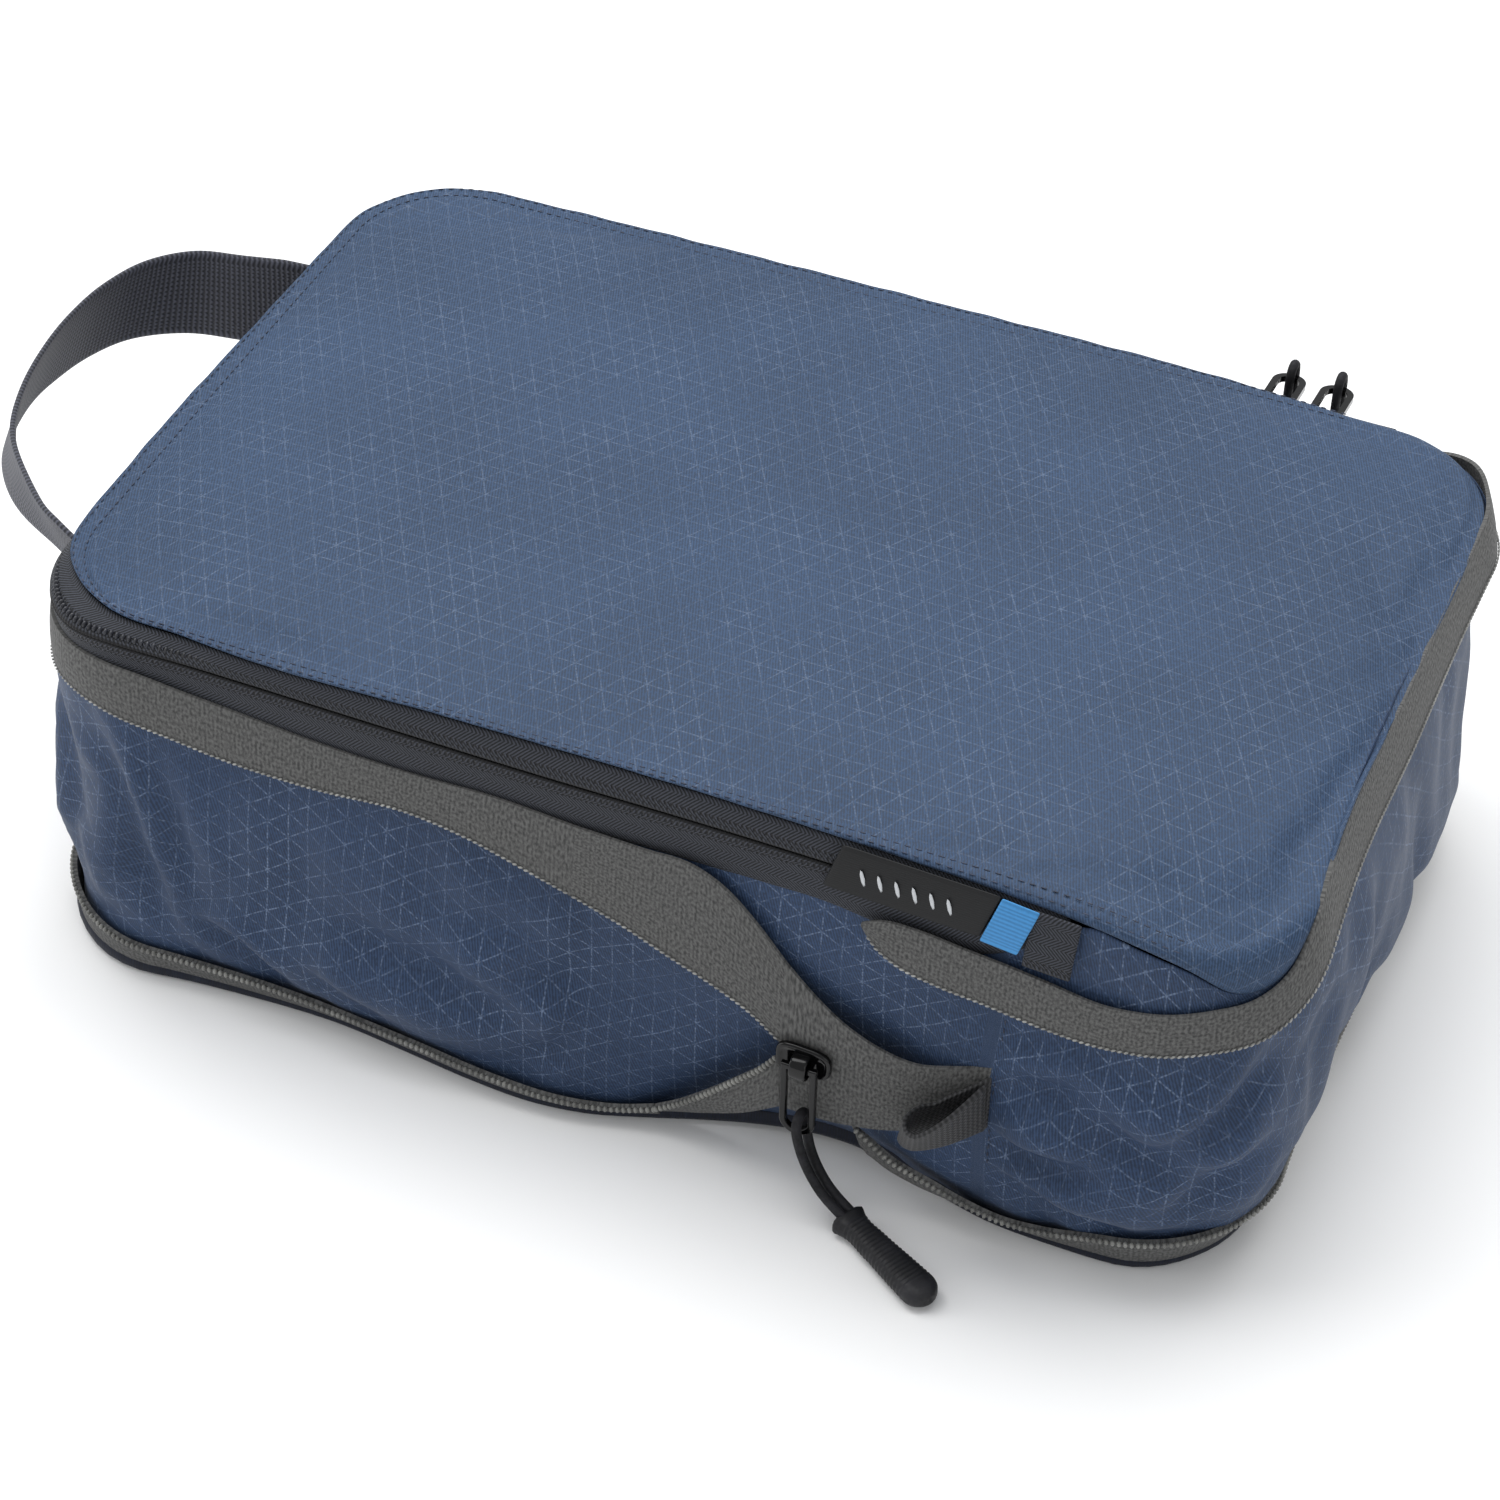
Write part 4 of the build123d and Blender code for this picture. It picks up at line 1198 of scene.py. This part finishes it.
def base():
    """The base cloth: a rounded rim that follows the bottom edge, and a flat middle."""
    places = np.linspace(0, ROUND, BASE_COLUMNS, endpoint=False)
    edge = smooth(places, BASE_EDGE, closed=True)
    lift = np.maximum(edge[:, 1] - 0.8, 0)
    rings = []
    for out, up in BASE_PROFILE:
        rings.append(on_wall(places, edge[:, 0] + out, lift * (1 if out > -2 else 0.3) + up))
    faces = grid_faces(len(rings), BASE_COLUMNS, closed=True)
    inner, centre = rings[0], rings[0].mean(0)
    previous = 0
    for shrink in (0.75, 0.5, 0.25):
        first = len(rings) * BASE_COLUMNS
        rings.append(centre + (inner - centre) * shrink)
        for j in range(BASE_COLUMNS):
            k = (j + 1) % BASE_COLUMNS
            faces.append((first + j, first + k, previous + k, previous + j))
        previous = first
    last = len(rings) * BASE_COLUMNS
    faces += [(last, previous + (j + 1) % BASE_COLUMNS, previous + j) for j in range(BASE_COLUMNS)]
    points = np.vstack([*rings, centre])
    piece = mesh_object("base_cloth_panel", points, [f[::-1] for f in faces], BASE_CLOTH, points[:, :2])
    thicken(piece, 0.6, 0)
    belong(piece, "base", "base_cloth", "base_panel", "base_band")


base()

# ---------------------------------------------------------------- label, patches and loop
TAB = 8.0
LABEL_SLANT = 3.6
LABEL_TILT = -1.4
PATCH_COLUMNS = 14


def front_patch(name, ends, heights, stand, material, thickness, slant=0.0, tilt=(0.0, 0.0), bulge=0.3):
    """A small flat piece of cloth on the front; slant leans its sides, tilt lowers its ends."""
    xs = np.linspace(*ends, PATCH_COLUMNS)
    drop = np.linspace(*tilt, PATCH_COLUMNS)
    rails = []
    for share in (0, 0.06, 0.35, 0.65, 0.94, 1):
        height = heights[0] + (heights[1] - heights[0]) * share + drop
        out = stand[0] + (stand[1] - stand[0]) * share + bulge * 4 * share * (1 - share)
        y = np.full(PATCH_COLUMNS, -HALF_DEPTH - out)
        rails.append(np.column_stack([xs - slant * (1 - share), y, height]))
    return loft(name, rails, material, thickness)


label_low, label_high = box("label")
label_x = (label_low[0] + 2.0, label_high[0] - TAB, label_high[0])
label_z = (label_low[2] + 1.2, label_high[2])
label_piece = front_patch(
    "label_cloth", label_x[:2], label_z, (1.9, 0.6), LABEL_BLACK, 0.5, LABEL_SLANT, (0, LABEL_TILT)
)
label_tab = front_patch(
    "label_tab", label_x[1:], (label_z[0] - 0.3, label_z[1]), (2.5, 0.9), LABEL_BLUE, 0.5,
    LABEL_SLANT, (LABEL_TILT, LABEL_TILT - 1.0), 0.6,
)
mark_x = np.linspace(label_x[0] + 5, label_x[1] - 6, 30)
mark_z = sum(label_z) / 2 + LABEL_TILT * (mark_x - label_x[0]) / (label_x[1] - label_x[0]) - 0.4
mark_line = np.column_stack([mark_x - LABEL_SLANT / 2, np.full(30, -HALF_DEPTH - 1.75), mark_z])
label_marks = beads("label_marks", mark_line, (0, -1, 0), 3.7, (0.5, 2.2, 0.14), LABEL_WHITE, 0.25)
belong(label_piece, "lid", "woven_label", "label")
belong(label_tab, "lid", "woven_label")
belong(label_marks, "lid", "woven_label")

# knitted patches that close the ends of the main zipper
front_end = front_patch(
    "zip_end_front", (88.4, 98.6), (80.5, 94.6), (2.4, 0.7), DARK_TAPE, 0.9, 1.0, (0, -0.6)
)
end_low, end_high = box("zip_end_patches")
back_places = np.linspace(back(104), back(111), 8)
back_low, back_high = on_wall(back_places, 1.0, end_low[2]), on_wall(back_places, 0.4, end_high[2])
back_end = loft("zip_end_back", between(back_low, back_high, (0, 0.1, 0.5, 0.9, 1)), DARK_TAPE, 0.9)
for patch in (front_end, back_end):
    belong(patch, "rim", "dark_tape", "zip_end_patches")

# ribbon loop at the compression zipper's start, sewn into the seam by both ends
LOOP = [
    (84.2, -94.6), (79.0, -95.9), (73.5, -97.2), (69.2, -99.2), (67.9, -102.0),
    (69.6, -104.8), (73.6, -105.4), (78.2, -103.4), (81.6, -100.0), (84.2, -96.8),
]


def start_loop():
    """A folded ribbon that opens wider towards its top."""
    loop_low, loop_high = box("start_loop")
    line, at = smooth_line(LOOP, 0.8)
    near_seam = np.clip((line[:, 0] - 72) / 12, 0, 1)
    low = loop_low[2] - 1.0 + 6.0 * near_seam
    high = loop_high[2] - 3.0 + 8.0 * near_seam
    root_y = LOOP[0][1]
    rails = []
    for share in (0, 0.04, 0.3, 0.7, 0.96, 1):
        x = line[:, 0] + 3.0 * (share - 0.5) * (1 - near_seam)
        y = root_y + (line[:, 1] - root_y) * (0.7 + 0.75 * share)
        rails.append(np.column_stack([x, y, low + (high - low) * share]))
    piece = loft("start_loop_ribbon", rails, GROSGRAIN, 0.9, along=at)
    belong(piece, "zip_start", "grosgrain", "start_loop")


start_loop()

# ---------------------------------------------------------------- handle
HANDLE_PATH = [
    (-137.0, 50.5), (-148.0, 47.2), (-158.0, 44.6), (-169.2, 41.8), (-177.8, 33.8), (-182.5, 21.4),
    (-183.8, 7.0), (-182.6, -7.5), (-179.4, -22.5), (-173.4, -37.5), (-163.0, -50.0),
    (-151.0, -60.5), (-137.0, -66.5),
]
# how far the strap's lower edge leans out from under its upper edge, by share of its length
HANDLE_LEAN = [
    (0.0, 0.0, 0.0), (0.16, -2.0, 0.0), (0.28, -6.4, 0.0), (0.4, -8.4, 0.0),
    (0.5, -9.4, -0.4), (0.6, -7.8, -1.4), (0.8, 4.2, 4.0), (1.0, 6.5, 11.0),
]
TUCK_RUN = 12


def handle():
    """The side grab strap: webbing that bows outwards, with its roots tucked under."""
    strap_low, strap_high = box("handle")
    line, at = smooth_line(HANDLE_PATH, 2.4)
    lean = smooth(at / at[-1], HANDLE_LEAN)
    width = strap_high[2] - strap_low[2]
    fall = np.sqrt(width**2 - (lean**2).sum(1))
    tuck = 2.0 * np.maximum(0, 1 - at / TUCK_RUN) + 3.0 * np.maximum(0, 1 - (at[-1] - at) / TUCK_RUN)
    rails = []
    for down in (1, 0.95, 0.65, 0.35, 0.05, 0):
        rails.append(np.column_stack([line + lean * down, strap_high[2] - 0.5 - fall * down - tuck]))
    piece = loft("handle_strap", rails, STRAP, 1.3, along=at)
    belong(piece, "handle_body", "webbing", "handle")


def handle_anchors():
    """Short doubled webbing patches that the strap's ends are bar-tacked to."""
    anchor_low, anchor_high = box("handle_anchors")
    x = (anchor_low[0] + anchor_high[0]) / 2
    heights = np.linspace(anchor_low[2], anchor_high[2], 8)
    for name, middle in (("far", anchor_high[1] - 2.5), ("near", anchor_low[1] + 2.5)):
        rails = []
        for share in (0, 0.1, 0.5, 0.9, 1):
            flat = np.full((8, 2), (x - 0.3 * share * (1 - share), middle + (share - 0.5) * 4.8))
            rails.append(np.column_stack([flat, heights]))
        patch = loft("handle_anchor_" + name, rails, STRAP, 1.0)
        belong(patch, "rim", "webbing", "handle_anchors")


handle()
handle_anchors()

# ---------------------------------------------------------------- sliders
SLIDER_BACK = 3.3
PLATE_OUT = (0.9, 2.3)
PLATE_IN = (-3.3, -2.3)
PLATE_SINK = 0.22
PLATE_SQUARENESS = 3.6
ARCH_HALF = [(-2.6, 1.8), (-2.55, 3.4), (-2.2, 4.6), (-1.2, 5.35)]
ARCH = [*ARCH_HALF, (0.0, 5.5), *[(-side, height) for side, height in ARCH_HALF[::-1]]]
ARCH_WIDTH = 3.8
ARCH_THICK = 0.85
ARCH_SIDES = 16


def slider_outline(half, inset):
    """A rounded plate outline: wide at the nose (-x), narrower at the tail."""
    angles = np.linspace(0, 2 * math.pi, 48, endpoint=False)
    c, s = np.cos(angles), np.sin(angles)
    x = np.sign(c) * np.abs(c) ** (2 / PLATE_SQUARENESS)
    side = np.sign(s) * np.abs(s) ** (2 / PLATE_SQUARENESS)
    width = 4.5 - 0.4 * (x + 1)
    return np.column_stack([x * (half - inset), side * (width - inset)])


def raised(flat, height):
    """Points at one height over a flat outline."""
    return np.column_stack([flat, np.full(len(flat), height)])


def slider_plate(half, low, high, sink):
    """A plate with rounded edges; sink lowers the middle of its outer face."""
    profile = (
        (1.6, low), (0.5, low), (0.12, low + 0.12), (0.0, low + 0.4), (0.0, high - 0.5), (0.14, high - 0.16),
        (0.5, high), (1.0, high), (1.25, high - sink), (2.2, high - sink), (3.4, high - sink),
    )
    return capped_tube([raised(slider_outline(half, inset), height) for inset, height in profile])


def slider_arch():
    """The bridge that the wire ring hangs from."""
    run = distances(np.array(ARCH))
    path = smooth(np.linspace(0, run[-1], 25), np.column_stack([run, ARCH]))
    slope = np.gradient(path, axis=0)
    slope /= np.linalg.norm(slope, axis=1)[:, None]
    points = []
    for (side, height), (ds, dh) in zip(path, slope):
        for j in range(ARCH_SIDES):
            angle = 2 * math.pi * j / ARCH_SIDES
            c, s = math.cos(angle), math.sin(angle)
            along = ARCH_WIDTH / 2 * math.copysign(abs(c) ** 0.45, c)
            out = ARCH_THICK / 2 * math.copysign(abs(s) ** 0.7, s)
            points.append((along, side - dh * out, height + ds * out))
    return np.array(points), grid_faces(len(path), ARCH_SIDES, closed=True)


def slider_web(half):
    """The thin wall in the zipper's slit that joins the two plates near the nose."""
    ring = slider_outline(1.5, 0.0) * (1.0, 0.08) + (2.4 - half, 0.0)
    return capped_tube([raised(ring, PLATE_IN[1] - 0.2), raised(ring, PLATE_OUT[0] + 0.2)])


def slider(node, outward):
    """A zipper slider in the place of a CAD node; outward is -1 on the front and 1 on the back."""
    low, high = box(node)
    middle = (low + high) / 2
    half = (high[0] - low[0]) / 2
    tape_y = high[1] - SLIDER_BACK if outward < 0 else low[1] + SLIDER_BACK
    plates = [slider_plate(half, *PLATE_OUT, PLATE_SINK), slider_plate(half, *PLATE_IN, 0.0)]
    points, faces, first = [], [], 0
    for part_points, part_faces in (*plates, slider_arch(), slider_web(half)):
        x, side, height = part_points.T
        points.append(np.column_stack([middle[0] + x, tape_y + outward * height, middle[2] + outward * side]))
        faces += [tuple(first + index for index in face) for face in part_faces]
        first += len(part_points)
    piece = mesh_object(node + "_shell", np.vstack(points), faces, ENAMEL)
    shell = bmesh.new()
    shell.from_mesh(piece.data)
    bmesh.ops.recalc_face_normals(shell, faces=shell.faces)
    shell.to_mesh(piece.data)
    shell.free()
    belong(piece, node + "_body", "black_enamel", node)


slider("compression_slider", -1)
slider("main_slider_a", 1)
slider("main_slider_b", 1)

# ---------------------------------------------------------------- carried-over CAD nodes
WIRE_ROUNDING = 0.35
for name in ("compression_ring", "main_ring_a", "main_ring_b"):
    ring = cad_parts[name]
    ring.data.materials.clear()
    ring.data.materials.append(ENAMEL)
    rounding = ring.modifiers.new("rounded edges", "BEVEL")
    rounding.width = WIRE_ROUNDING * MM
    rounding.segments = 3
    rounding.angle_limit = math.radians(35)
